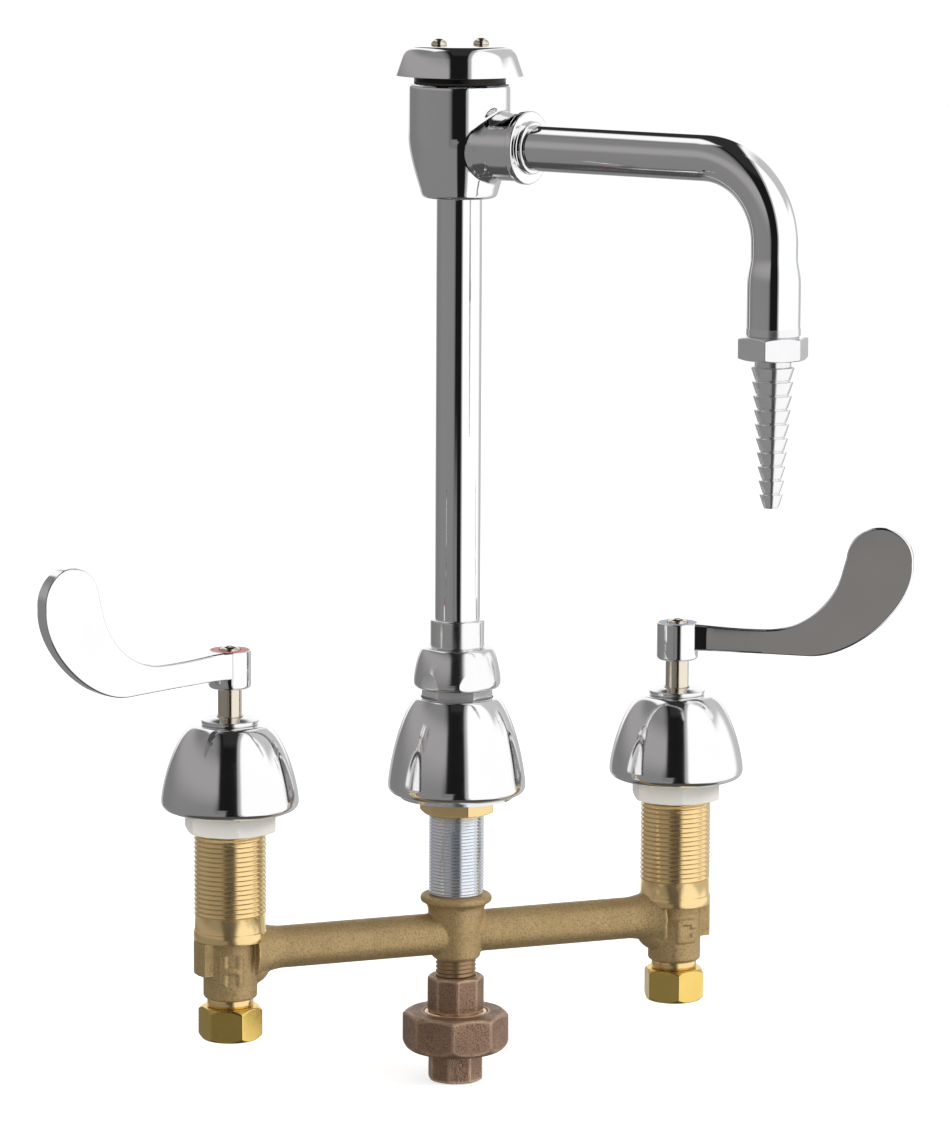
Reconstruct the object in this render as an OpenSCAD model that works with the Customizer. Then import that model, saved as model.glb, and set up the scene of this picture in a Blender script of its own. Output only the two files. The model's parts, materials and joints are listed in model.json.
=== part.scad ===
// Deck-mounted laboratory faucet with wrist-blade handles, concealed cast body,
// swing riser with an atmospheric vacuum breaker, and a serrated hose nozzle.
// Millimetres. Z = 0 is the deck plane under the three bells, on the riser's axis.
// X runs along the valve line to the cold side, and -Y is the user's side.

/* [Layout] */
// Distance between the hot and cold shanks
centres = 203.2; // [180:0.1:230]
// Angle of the spout from the valve line, toward the user
spout_angle = 55.5; // [20:0.5:90]
// Angle of the hot handle from the valve line, toward the user
hot_sweep = 22; // [0:1:40]
// Angle of the cold handle from the valve line, toward the user
cold_sweep = 29; // [0:1:40]
// Clearance between pieces that are screwed or pressed together
fit = 0.1; // [0.05:0.01:0.15]
// Radial running clearance of pieces that turn or slide
run = 0.07; // [0.03:0.01:0.1]

/* [Shanks] */
// Outer diameter of the threaded side shanks
shank_d = 30; // [29:0.1:31]
// Length of the shanks below the deck plane
shank_below = 51; // [46:0.5:54]
// Length of the shanks above the deck plane
shank_above = 18; // [14:0.5:22]
// Thickness of the flange under each shank
flange_t = 4.3; // [3:0.1:6]
// How far the flange stands out past the shank
flange_lip = 0.3; // [0.2:0.1:2]

/* [Cast body] */
// Outer diameter of the cast barrels under the flanges
barrel_d = 22.6; // [21:0.1:26]
// Height of the cast barrels
barrel_h = 24.7; // [22:0.1:30]
// Diameter of the turned neck above each inlet thread
neck_d = 19.4; // [18.8:0.1:20.5]
// Height of the turned neck
neck_h = 3.6; // [2:0.1:6]
// Width of the lug on the outer side of each barrel
lug_w = 13; // [8:0.5:16]
// Height of that lug
lug_h = 14.2; // [8:0.1:20]
// Outer diameter of the crossover tubes
crossover_d = 17.8; // [16:0.1:20]
// Diameter of the waterway in the crossover tubes
crossover_bore = 11; // [8:0.1:13]
// Depth of the crossover axis below the deck plane
crossover_drop = 60.4; // [59:0.1:62]
// Length of the flare where a tube meets its barrel
flare_l = 11; // [6:0.5:16]
// How far the flare is wider than the tube, on the radius
flare_r = 3.6; // [1:0.1:5]
// Radius of the rounded boss under each flare
boss_r = 9; // [8:0.1:9.4]
// Distance of that boss from its barrel's axis
boss_x = 8.4; // [7:0.1:9]
// Depth of the boss below the crossover axis
boss_drop = 6; // [5:0.1:7]
// Depth of the tee's top face below the deck plane
tee_drop = 43.5; // [42:0.1:46]
// Height of the tee
tee_h = 27.9; // [26:0.1:32]
// Diameter of the tee just under its collar
tee_d = 23.9; // [23:0.1:26]
// Diameter of the tee at its lower end
tee_low_d = 20.8; // [19.6:0.1:23]
// Diameter of the tee's rolled top collar
tee_collar_d = 30.5; // [27:0.1:34]
// Height of that collar
tee_collar_h = 3.4; // [2:0.1:4.5]

/* [Inlets] */
// Outer diameter of the supply tube that fits each inlet
supply_d = 9.525; // [8:0.005:10]
// Diameter of the inlet's male thread
inlet_thread_d = 17.3; // [16.6:0.1:18]
// Length of the inlet's male thread
inlet_thread_h = 8; // [6:0.1:10]
// Height of the compression ferrule
ferrule_h = 4; // [3:0.1:5]
// Thickness of the compression nut's web under the ferrule
nut_web = 2; // [1.5:0.1:3]
// Width across the flats of the compression nut
inlet_nut_af = 23.6; // [22:0.1:26]

/* [Cartridges] */
// Diameter of the cartridge in the shank
cartridge_d = 19.8; // [18:0.1:22]
// Diameter of the cartridge nose
nose_d = 15.4; // [14.8:0.1:15.8]
// Diameter of the ceramic discs
disc_d = 11.8; // [11:0.1:12.2]
// Thickness of the fixed disc
fixed_disc_t = 3; // [2:0.1:3.5]
// Thickness of the rotating disc
rotating_disc_t = 2.5; // [2:0.1:3]
// Thickness of the seat gasket
gasket_t = 1.5; // [1:0.1:2]
// Depth of the cartridge seat below the crossover axis
seat_drop = 10.6; // [10:0.1:11.5]
// Diameter of the holes in the discs
disc_port_d = 3.2; // [2:0.1:3.6]
// Diameter of the stem above the deck
stem_d = 10; // [9.9:0.1:10.4]
// Diameter of the cartridge's threaded neck
cartridge_neck_d = 15.8; // [14:0.1:17]

/* [Side bells] */
// Largest diameter of the side bells
bell_d = 57.4; // [54:0.1:62]
// Height of the side bells
bell_h = 36.3; // [33:0.1:40]
// Height at which the bells start to draw in
belly_z = 14; // [11:0.1:16]
// Radius of the flat top of the side bells
bell_flat_r = 15.5; // [14:0.1:17]
// Wall of the bells
bell_wall = 2; // [1.5:0.1:3]
// Diameter of the chrome cap nut that holds a side bell
cap_nut_d = 23.9; // [22:0.1:26]
// Height of the cap nut above the bell
cap_nut_h = 3.2; // [2:0.1:5]
// Width across the flats of the nylon locknuts
locknut_af = 35; // [33:0.1:38]
// Height of the nylon locknuts
locknut_h = 9.3; // [7:0.1:12]

/* [Handles] */
// Height of the handle hub above the cap nut
hub_gap = 12; // [9:0.1:14]
// Diameter of the handle hub
hub_d = 17.8; // [16:0.1:20]
// Height of the handle hub
hub_h = 16; // [15:0.1:19]
// Thickness of the blade
blade_t = 6; // [4:0.1:8]
// Distance from the hub's axis to the blade's tip
blade_reach = 100.6; // [96:0.1:104]
// Radius of the blade's round tip
blade_tip_r = 14.3; // [12:0.1:16]
// Height of the blade's tip centre above the hub's underside
blade_tip_h = 45; // [42:0.1:50]
// Distance from the hub's axis at which the arm starts to curve up
arm_l = 38; // [36:0.1:40]
// Radius of the arm's inner curve
arm_curve_r = 33.2; // [32.5:0.1:35]
// Height of the arm's lower edge above the hub's underside
arm_low = 4.6; // [3.8:0.1:6]
// Height of the arm's top edge at the curve
arm_high = 14.2; // [13.6:0.1:14.8]
// Diameter of the colour index ring
index_d = 16.6; // [14:0.1:17]
// Diameter of the handle screw's head
screw_head_d = 8.6; // [7:0.1:9]

/* [Centre column] */
// Diameter of the threaded centre nipple
nipple_d = 23.4; // [22.4:0.1:23.6]
// Bore of the centre nipple
nipple_bore = 15; // [13:0.1:15.6]
// Diameter of the nipple's spigot in the tee
spigot_d = 19.2; // [18.6:0.1:20.4]
// Length of the nipple above the deck plane
nipple_above = 30; // [24:0.5:34]
// Depth of the spigot in the tee
nipple_socket = 9; // [7:0.1:10]
// Diameter of the zinc washer under the centre bell
washer_d = 47.8; // [46.5:0.1:50]
// Thickness of that washer
washer_t = 1.6; // [1:0.1:3]
// Width across the flats of the brass locknut
brass_nut_af = 27.7; // [26:0.1:32]
// Height of the brass locknut
brass_nut_h = 6.9; // [5:0.1:10]
// Largest diameter of the centre bell
centre_bell_d = 58.3; // [56:0.1:62]
// Height of the centre bell
centre_bell_h = 41.6; // [40:0.1:43]
// How far the centre bell's shoulder lies below its top
centre_shoulder = 8; // [7:0.1:9]
// Width across the flats of the swivel adapter's hex
adapter_af = 25.9; // [25.6:0.1:26.6]
// Height of the hex that shows above the bell
adapter_show = 4; // [3:0.1:6]
// Height of the coupling nut
coupling_h = 17.9; // [17:0.1:21]
// Largest diameter of the coupling nut
coupling_d = 36.9; // [35.6:0.1:39]
// Width across the wrench flats of the coupling nut
coupling_af = 34.4; // [33.8:0.1:35.4]

/* [Riser] */
// Outer diameter of the riser and the spout tube
tube_d = 19.05; // [18.5:0.01:19.5]
// Wall of the riser and the spout tube
tube_wall = 1.2; // [0.9:0.1:1.6]
// Diameter of the swivel collar on the riser
collar_d = 22.8; // [22:0.1:23.2]
// Height of the collar above the coupling nut
collar_h = 11.3; // [8:0.1:16]
// Height of the spout's axis above the deck plane
spout_z = 274.9; // [240:0.1:300]

/* [Vacuum breaker] */
// Diameter of the body
vb_d = 43; // [42:0.1:46]
// Height of the body's lower end below the spout's axis
vb_low = 22.4; // [21:0.1:24]
// Height of the body's top face above the spout's axis
vb_high = 25.3; // [24:0.1:28]
// Diameter of the body's lower end
vb_low_d = 31.6; // [28:0.1:36]
// Diameter of the body's side arm
vb_arm_d = 28.4; // [26:0.1:30]
// Distance from the riser's axis to the end of the side arm
vb_arm_l = 32; // [29:0.1:36]
// Travel of the float between its two seats
float_travel = 3; // [2:0.1:4]
// Diameter of the float disc
float_d = 25.2; // [24:0.1:27]
// Diameter of the cap's rim
cap_d = 54.4; // [52:0.1:58]
// Height of the cap
cap_h = 12.5; // [11:0.1:14]
// Open height between the body's top face and the cap's rim
cap_gap = 3.3; // [3:0.1:5]
// Distance of each cap screw from the axis
cap_screw_x = 9.4; // [8.6:0.1:10.4]

/* [Spout] */
// Horizontal reach from the riser's axis to the nozzle's axis
reach = 152.4; // [130:0.1:180]
// Radius of the bend's centreline
bend_r = 33; // [28:0.5:40]
// Diameter of the collar ring at the root of the spout tube
ring_d = 30.6; // [29:0.1:33]
// Thickness of that ring
ring_t = 3.2; // [2:0.1:5]
// Length of the step between the ring and the tube
step_t = 2.2; // [1:0.1:4]
// Height of the tube's lower end above the deck plane
drop_z = 208; // [195:0.1:215]
// Diameter of the swaged end of the tube
swage_d = 21.7; // [21:0.1:22.4]
// Length of the swaged end
swage_l = 23; // [18:0.1:26]
// Height of the outlet fitting's rim
outlet_h = 3.4; // [2:0.1:5]

/* [Hose nozzle] */
// Width across the flats of the nozzle's hex
nozzle_af = 25.8; // [24:0.1:28]
// Height of the nozzle's hex
nozzle_hex_h = 9.4; // [7:0.1:12]
// Height of the plain neck under the hex
nozzle_neck_h = 3; // [1:0.1:6]
// Number of barbs
barbs = 10; // [4:1:14]
// Distance from one barb to the next
barb_pitch = 5.75; // [4:0.05:7]
// Radius of the largest barb
barb_top_r = 8.9; // [8:0.1:11]
// Radius of the smallest barb
barb_low_r = 4.8; // [4.4:0.1:6]
// Depth of each barb
barb_depth = 1.25; // [0.6:0.05:1.5]
// Bore of the nozzle
nozzle_bore = 4.4; // [2:0.1:5]

/* [Lower union] */
// Diameter of the close nipple
pipe_d = 17.1; // [16.6:0.1:17.4]
// Bore of the close nipple and the union
pipe_bore = 12.5; // [11:0.1:13]
// Depth of the close nipple in each of its sockets
pipe_socket = 5.2; // [4:0.1:5.2]
// Length of the close nipple that shows
pipe_show = 7.6; // [4:0.1:12]
// Width over the corners of the union's upper octagon
tail_corners = 24.2; // [23.5:0.1:26]
// Height of the union's upper octagon
tail_h = 15.5; // [12:0.1:20]
// Diameter of the bead under that octagon
bead_d = 27.2; // [26.4:0.1:28]
// Width over the corners of the union nut
union_corners = 45.4; // [43:0.1:48]
// Height of the union nut
union_h = 17; // [15:0.1:20]
// Width over the corners of the union's lower octagon
end_corners = 23.8; // [22.6:0.1:26]
// Height of the union's lower octagon
end_h = 12.7; // [10:0.1:16]

/* [Hidden] */
$fn = 96;
eps = 0.01;
hot = -1;
cold = 1;

// Finishes, as the photograph shows them
chrome = "#c9ccd0";
cast_brass = "#b39a5e";
turned_brass = "#d8bd72";
bronze = "#8a5f48";
zinc = "#aab4c0";
nylon = "#efece2";
ceramic = "#e8e6e0";
rubber = "#232323";

// Heights down the side valves
flange_top = -shank_below;
flange_low = flange_top - flange_t;
flange_r = shank_d / 2 + flange_lip;
barrel_low = flange_low - barrel_h;
neck_low = barrel_low - neck_h;
inlet_low = neck_low - inlet_thread_h;
inlet_nut_h = inlet_thread_h + ferrule_h + nut_web;
supply_r = supply_d / 2 + fit;
crossover_z = -crossover_drop;
seat_z = crossover_z - seat_drop;
nose_low = seat_z + gasket_t;
fixed_top = nose_low + fixed_disc_t;
rotating_low = fixed_top + run;
rotating_top = rotating_low + rotating_disc_t;
disc_r = disc_d / 2;
disc_bore_r = disc_r + run;
nose_r = nose_d / 2;
cartridge_r = cartridge_d / 2;
port_offset = disc_r / 2 + 0.2;
port_r = 3.4;
port_z = crossover_z;
chamber_top = port_z + port_r + 16;
piston_h = 8;
piston_r = disc_r;
piston_top = chamber_top - 0.4;
piston_low = piston_top - piston_h;
oring_r = 1.1;
stem_r = stem_d / 2;
stem_neck_r = 2.8;
driver_h = 1.6;
tang_w = 2;
tang_h = 0.9;
cartridge_flange_t = 2.5;
cartridge_flange_r = shank_d / 2 - 1.2;
cartridge_neck_r = cartridge_neck_d / 2;

// Heights up the side valves
cap_nut_top = bell_h + cap_nut_h;
cap_skirt_r = cartridge_neck_r + fit + 1.4;
cap_skirt_h = 6.4;
cap_rim_h = cap_nut_h * 0.62;
shoulder_r = 6.2;
shoulder_z = 4.8;
belly_in = 0.15;
hub_low = cap_nut_top + hub_gap;
hub_top = hub_low + hub_h;
hub_r = hub_d / 2;
hub_web_low = hub_top - 4.6;
index_t = 0.8;
index_low = hub_top - index_t;
broach_r = stem_r - 0.45;
screw_r = 2;
screw_head_h = 2.4;
screw_l = 10;
screw_head_r = screw_head_d / 2;

// Heights of the centre column
nipple_r = nipple_d / 2;
tee_top = -tee_drop;
tee_low = tee_top - tee_h;
nipple_low = tee_top - nipple_socket;
adapter_top = centre_bell_h + adapter_show;
adapter_corner_r = adapter_af / 2 / cos(30);
adapter_skirt_r = adapter_af / 2 - 0.15;
centre_shoulder_r = 4.9;
adapter_grip = 16;
adapter_hex_h = 10;
adapter_low = nipple_above - adapter_grip;
adapter_hex_low = adapter_top - adapter_hex_h;
coupling_low = adapter_top;
coupling_top = coupling_low + coupling_h;
coupling_r = coupling_d / 2;
thread_r = adapter_af / 2 - 0.25;
thread_top = coupling_low + 7;
collar_r = collar_d / 2;
collar_flange_r = thread_r;
collar_flange_t = 2.4;
collar_flange_low = thread_top + 0.3;
collar_flange_top = collar_flange_low + collar_flange_t;
swivel_washer_t = 0.9;
collar_top = coupling_top + collar_h;
tube_r = tube_d / 2;
tube_in_r = tube_r - tube_wall;
riser_low = coupling_low - 2;
swivel_r = 0.9;
swivel_ring_r = tube_r + run + swivel_r;
swivel_z = coupling_low + 2.4;
groove_h = swivel_r + 0.2;
socket_r = tube_r + 0.75;

// Heights of the vacuum breaker
vb_r = vb_d / 2;
vb_bottom = spout_z - vb_low;
vb_top = spout_z + vb_high;
vb_low_r = vb_low_d / 2;
riser_top = vb_bottom + 9;
chamber_r = 16.4;
chamber_low = spout_z - 9;
inlet_seat_r = 9.6;
inlet_seat_bore = 6.6;
seat_top = spout_z + 2.2;
float_r = float_d / 2;
float_t = 3.7;
float_low = seat_top + run;
float_top = float_low + float_t;
float_stem_r = 2.4;
air_seat_z = float_top + float_travel + run;
air_port_r = float_r - 1.5;
bonnet_r = chamber_r + 1;
bonnet_low = vb_top - 12;
gasket_top = vb_top + 0.7;
bonnet_flange_r = vb_r - 2.4;
bonnet_top = vb_top + 2.4;
float_stem_top = bonnet_low + 6;
cap_low = vb_top + cap_gap;
cap_top = cap_low + cap_h;
cap_wall = 1.6;
cap_r = cap_d / 2;
post_r = 3;
cap_screw_r = 1.5;
cap_screw_head_r = 3.4;
cap_screw_head_h = 2.8;

// Places along the spout
swage_r = swage_d / 2;
swage_top = drop_z + swage_l;
swage_taper = 4;
bend_x = reach - bend_r;
bend_z = spout_z - bend_r;
tube_start = 22;
outlet_low = drop_z - outlet_h;
outlet_sleeve_r = swage_r - tube_wall - fit;
outlet_bore_r = outlet_sleeve_r - 0.9;
outlet_sleeve_h = 14;
outlet_lip = 2.4;
nozzle_gasket_t = 1.5;
gasket_low = drop_z + outlet_sleeve_h - outlet_lip - nozzle_gasket_t;
hex_low = outlet_low - nozzle_hex_h;
barb_start = hex_low - nozzle_neck_h;
barb_step = barbs > 1 ? (barb_top_r - barb_low_r) / (barbs - 1) : 0;
nozzle_end_r = barb_low_r - 1.6;
nozzle_low = barb_start - barbs * barb_pitch + 0.3;

// Heights of the lower union
pipe_r = pipe_d / 2;
pipe_top = tee_low + pipe_socket;
tail_top = tee_low - pipe_show;
tail_low = tail_top - tail_h;
pipe_low = tail_top - pipe_socket;
bead_h = 2.2;
bead_r = bead_d / 2;
tail_flange_r = bead_r + 1.6;
tail_flange_h = 2.6;
union_lip = 3;
union_top = tail_low;
union_low = union_top - union_h;
union_seat = union_top - union_lip - tail_flange_h;
union_thread_r = tail_flange_r + 0.8;
end_low = union_low - end_h;
end_thread_r = 7.5;

// Points on a cubic curve between p0 and p3, pulled toward p1 and p2
function curve(p0, p1, p2, p3, n = 10) = [
    for (i = [0:n])
        let (t = i / n, s = 1 - t)
            s * s * s * p0 + 3 * s * s * t * p1 + 3 * s * t * t * p2 + t * t * t * p3
];

// Points on an arc of a circle
function arc(c, r, a0, a1, n = 6) = [
    for (i = [0:n])
        let (a = a0 + (a1 - a0) * i / n)
            [c[0] + r * cos(a), c[1] + r * sin(a)]
];

// A turned sleeve between two radii and two heights
module sleeve(r_in, r_out, z0, z1) {
    rotate_extrude()
        translate([r_in, z0])
            square([r_out - r_in, z1 - z0]);
}

// A turned solid rod between two heights
module rod(r, z0, z1) {
    translate([0, 0, z0])
        cylinder(r = r, h = z1 - z0);
}

// A prism with flat sides, given over its corners and turned to the angle of one corner
module prism(corner_r, sides, turn, z0, z1) {
    rotate([0, 0, turn])
        translate([0, 0, z0])
            cylinder(r = corner_r, h = z1 - z0, $fn = sides);
}

// A nut blank: a prism whose corners are turned off at both ends
module nut_blank(corner_r, sides, turn, z0, z1, bevel) {
    flat_r = corner_r * cos(180 / sides);
    intersection() {
        prism(corner_r, sides, turn, z0, z1);
        rotate_extrude()
            polygon([
                [0, z0], [flat_r - 0.2, z0], [corner_r + 0.1, z0 + bevel],
                [corner_r + 0.1, z1 - bevel], [flat_r - 0.2, z1], [0, z1]
            ]);
    }
}

module at_side(side) {
    translate([side * centres / 2, 0, 0])
        children();
}

// Puts a piece that was drawn along +X into the spout's direction
module toward_spout() {
    rotate([0, 0, -spout_angle])
        children();
}

// Puts a handle that was drawn along +X on its own side
module toward_user(side) {
    rotate([0, 0, side == cold ? -cold_sweep : 180 + hot_sweep])
        children();
}

// The outside of one cast barrel with its shank, flange, lug and inlet thread
module barrel_outside(side) {
    rod(shank_d / 2, flange_top, shank_above);
    rod(flange_r, flange_low, flange_top);
    rod(barrel_d / 2, barrel_low, flange_low);
    rod(neck_d / 2, neck_low, barrel_low);
    rod(inlet_thread_d / 2, inlet_low, neck_low);
    intersection() {
        rod(flange_r, flange_low - lug_h, flange_low);
        translate([side > 0 ? 0 : -flange_r, -lug_w / 2, flange_low - lug_h])
            cube([flange_r, lug_w, lug_h]);
    }
}

// The waterway and the cartridge's bore in one barrel
module barrel_inside() {
    rod(cartridge_r + fit, flange_top, shank_above + eps);
    rod(nose_r + fit, seat_z, flange_top + eps);
    rod(supply_r, inlet_low - eps, seat_z + eps);
    rotate_extrude()
        polygon([
            [0, inlet_low - eps], [supply_r + 1.8, inlet_low - eps],
            [supply_r, inlet_low + 1.8], [0, inlet_low + 1.8]
        ]);
}

// One crossover tube from the tee to a barrel, with its flare and the boss under it
module crossover_outside(side) {
    rotate([0, side * 90, 0]) {
        cylinder(r = crossover_d / 2, h = centres / 2);
        translate([0, 0, centres / 2 - barrel_d / 2 - flare_l + 2])
            cylinder(r1 = crossover_d / 2, r2 = crossover_d / 2 + flare_r, h = flare_l);
    }
    translate([side * (centres / 2 - boss_x), 0, -boss_drop])
        sphere(r = boss_r);
}

module tee_outside() {
    low_r = tee_low_d / 2;
    high_r = tee_d / 2;
    collar_r = tee_collar_d / 2;
    rotate_extrude()
        polygon(concat(
            [[0, tee_low], [low_r - 1.2, tee_low], [low_r, tee_low + 1.2]],
            [[high_r, tee_top - tee_collar_h - 3.4]],
            curve([high_r, tee_top - tee_collar_h - 3], [high_r + 0.4, tee_top - tee_collar_h],
                [collar_r - 1.5, tee_top - tee_collar_h], [collar_r, tee_top - 1.7], 6),
            [[collar_r, tee_top - 1], [collar_r - 0.8, tee_top], [0, tee_top]]
        ));
}

module valve_body() {
    color(cast_brass)
        difference() {
            union() {
                for (side = [hot, cold]) {
                    at_side(side) barrel_outside(side);
                    translate([0, 0, crossover_z]) crossover_outside(side);
                }
                tee_outside();
            }
            for (side = [hot, cold])
                at_side(side) barrel_inside();
            translate([-centres / 2, 0, crossover_z])
                rotate([0, 90, 0])
                    cylinder(r = crossover_bore / 2, h = centres);
            rod(spigot_d / 2 + fit, nipple_low, tee_top + eps);
            rod(pipe_bore / 2, tee_low - eps, nipple_low + eps);
            rod(pipe_r + fit, tee_low - eps, pipe_top);
        }
}

module locknut(side) {
    color(nylon)
        at_side(side)
            difference() {
                nut_blank(locknut_af / 2 / cos(30), 6, side == hot ? 21.1 : 14.5, -locknut_h, 0, 1);
                rod(shank_d / 2 + fit, -locknut_h - eps, eps);
            }
}

// Outline of a bell's shell, from its top hole over the dome to its lower lip and back
module bell_shell(hole_r, flat_r, belly_r, height, shoulder, belly) {
    lip_r = belly_r - 3.2;
    inner_r = lip_r - bell_wall;
    rotate_extrude()
        polygon(concat(
            [[hole_r, height], [flat_r - 1, height]],
            curve([flat_r, height - 0.3], shoulder, belly, [belly_r, 4.6], 14),
            arc([belly_r - 3.4, 3.6], 3.4, 10, -75, 6),
            [[lip_r, 0], [inner_r, 0]],
            curve([belly_r - bell_wall - 1.2, 6], belly - [bell_wall, 0],
                shoulder - [bell_wall, bell_wall], [flat_r - bell_wall, height - bell_wall - 0.6], 10),
            [[hole_r, height - bell_wall]]
        ));
}

module side_bell(side) {
    r = bell_d / 2;
    color(chrome)
        at_side(side)
            bell_shell(cap_skirt_r + 0.2, bell_flat_r, r, bell_h, [r - shoulder_r, bell_h - shoulder_z], [r - belly_in, belly_z]);
}

module cap_nut(side) {
    cap_r = cap_nut_d / 2;
    color(chrome)
        at_side(side)
            rotate_extrude()
                polygon([
                    [stem_r + 0.35, bell_h], [cartridge_neck_r + fit, bell_h],
                    [cartridge_neck_r + fit, bell_h - cap_skirt_h], [cap_skirt_r, bell_h - cap_skirt_h],
                    [cap_skirt_r, bell_h], [cap_r - 0.4, bell_h], [cap_r, bell_h + 0.4],
                    [cap_r, bell_h + cap_rim_h - 0.5], [cap_r - 0.6, bell_h + cap_rim_h],
                    [stem_r + 1.2, cap_nut_top], [stem_r + 0.35, cap_nut_top]
                ]);
}

module cartridge(side) {
    color(turned_brass)
        at_side(side)
            difference() {
                union() {
                    rod(nose_r, nose_low, flange_top);
                    rod(cartridge_r, flange_top, shank_above);
                    rod(cartridge_flange_r, shank_above, shank_above + cartridge_flange_t);
                    rod(cartridge_neck_r, shank_above, bell_h);
                }
                rod(disc_bore_r, nose_low - eps, chamber_top);
                rod(stem_r + run, chamber_top - eps, bell_h + eps);
                translate([-nose_r - 1, 0, port_z])
                    rotate([0, 90, 0])
                        cylinder(r = port_r, h = 2 * nose_r + 2);
            }
}

// The bar under the stem that turns the rotating disc
module driver_tang(play) {
    translate([1 - disc_r, -tang_w / 2 - play, rotating_top - tang_h - play])
        cube([2 * disc_r - 2, tang_w + 2 * play, tang_h + 2 * play + 0.5]);
}

module stem(side) {
    color(turned_brass)
        at_side(side)
            difference() {
                union() {
                    rotate_extrude()
                        polygon([
                            [0, rotating_top + run], [disc_r - 0.3, rotating_top + run],
                            [disc_r - 0.3, rotating_top + run + driver_h],
                            [stem_neck_r, rotating_top + run + driver_h], [stem_neck_r, piston_low],
                            [piston_r, piston_low], [piston_r, piston_low + 2.6],
                            [piston_r - 2 * oring_r, piston_low + 2.6],
                            [piston_r - 2 * oring_r, piston_top - 2.6],
                            [piston_r, piston_top - 2.6], [piston_r, piston_top],
                            [stem_r, piston_top], [stem_r, hub_low],
                            [broach_r, hub_low], [broach_r, hub_web_low - 0.3], [0, hub_web_low - 0.3]
                        ]);
                    driver_tang(0);
                }
                rod(screw_r + fit, index_low - screw_l - 0.5, hub_web_low);
            }
}

module stem_oring(side) {
    color(rubber)
        at_side(side)
            rotate_extrude()
                translate([piston_r - oring_r, (piston_low + piston_top) / 2])
                    circle(r = oring_r);
}

// A ceramic disc with two holes, turned to the given angle
module disc(z0, z1, turn) {
    difference() {
        rod(disc_r, z0, z1);
        for (i = [0, 1])
            rotate([0, 0, turn + 180 * i])
                translate([port_offset, 0, z0 - eps])
                    cylinder(d = disc_port_d, h = z1 - z0 + 2 * eps);
    }
}

module fixed_disc(side) {
    color(ceramic)
        at_side(side) disc(nose_low, fixed_top, 0);
}

// Closed at rest: its holes lie a quarter turn away from those of the fixed disc
module rotating_disc(side) {
    color(ceramic)
        at_side(side)
            difference() {
                disc(rotating_low, rotating_top, 90);
                driver_tang(0.05);
                translate([-disc_r - 1, -tang_w / 2 - 0.05, rotating_top - tang_h - 0.05])
                    cube([2 * disc_r + 2, tang_w + 0.1, tang_h + 1]);
            }
}

module seat_gasket(side) {
    color(rubber)
        at_side(side) sleeve(supply_r + 0.6, nose_r - 0.3, seat_z, nose_low);
}

// Side view of the handle: a straight arm, an inner curve, a round tip and a full outer curve
module blade_outline() {
    tip = [blade_reach - blade_tip_r, hub_low + blade_tip_h];
    bow = [arm_l, hub_low + arm_high + arm_curve_r];
    heel = [57, hub_low + 2.9];
    polygon(concat(
        [[0, hub_low + arm_low], [0, hub_top], [6, hub_top]],
        arc(bow, arm_curve_r, -90, -12, 12),
        arc(tip, blade_tip_r, 176, -6, 18),
        curve(tip + [blade_tip_r, -3], tip + [blade_tip_r, -20], heel + [20, 0], heel, 12)
    ));
}

// Plan of the handle: the hub tapers into a blade of even thickness
module blade_plan() {
    circle(r = hub_r);
    polygon([
        [0, hub_r - 0.3], [hub_r * 0.6, hub_r * 0.72], [hub_r * 1.45, blade_t * 0.76],
        [arm_l, blade_t / 2], [blade_reach + 1, blade_t / 2],
        [blade_reach + 1, -blade_t / 2], [arm_l, -blade_t / 2],
        [hub_r * 1.45, -blade_t * 0.76], [hub_r * 0.6, -hub_r * 0.72], [0, 0.3 - hub_r]
    ]);
}

module handle(side) {
    color(chrome)
        at_side(side)
            toward_user(side)
                difference() {
                    union() {
                        intersection() {
                            translate([0, hub_r, 0])
                                rotate([90, 0, 0])
                                    linear_extrude(height = 2 * hub_r)
                                        blade_outline();
                            translate([0, 0, hub_low - 1])
                                linear_extrude(height = 2 * blade_tip_h)
                                    blade_plan();
                        }
                        rotate_extrude()
                            polygon(concat(
                                [[0, hub_low], [hub_r - 1.5, hub_low]],
                                arc([hub_r - 1.5, hub_low + 1.5], 1.5, -90, 0, 4),
                                [[hub_r, hub_top - 0.3], [hub_r - 0.3, hub_top], [0, hub_top]]
                            ));
                    }
                    rod(broach_r + fit, hub_low - eps, hub_web_low);
                    rod(screw_r + fit, hub_web_low - eps, hub_top);
                    rod(index_d / 2 + fit, index_low, hub_top + eps);
                }
}

module index_ring(side) {
    color(side == hot ? "#c8202a" : "#2456b0")
        at_side(side) sleeve(screw_head_r + 0.3, index_d / 2, index_low, hub_top);
}

module handle_screw(side) {
    color(chrome)
        at_side(side)
            difference() {
                union() {
                    rotate_extrude()
                        polygon(concat(
                            [[0, index_low], [screw_head_r, index_low]],
                            curve([screw_head_r, index_low + 1.2], [screw_head_r, index_low + 2],
                                [2.4, index_low + screw_head_h], [0, index_low + screw_head_h], 5)
                        ));
                    rod(screw_r, index_low - screw_l, index_low + eps);
                }
                translate([-screw_head_r - 1, -0.5, index_low + screw_head_h - 1.1])
                    cube([2 * screw_head_r + 2, 1, 3]);
            }
}

module inlet_nut(side) {
    top = neck_low;
    low = neck_low - inlet_nut_h;
    color(turned_brass)
        at_side(side)
            difference() {
                nut_blank(inlet_nut_af / 2 / cos(30), 6, side == hot ? 32.6 : 15.7, low, top, 1.8);
                rod(inlet_thread_d / 2 + fit, low + nut_web, top + eps);
                rod(supply_r, low - eps, low + nut_web + eps);
            }
}

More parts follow.
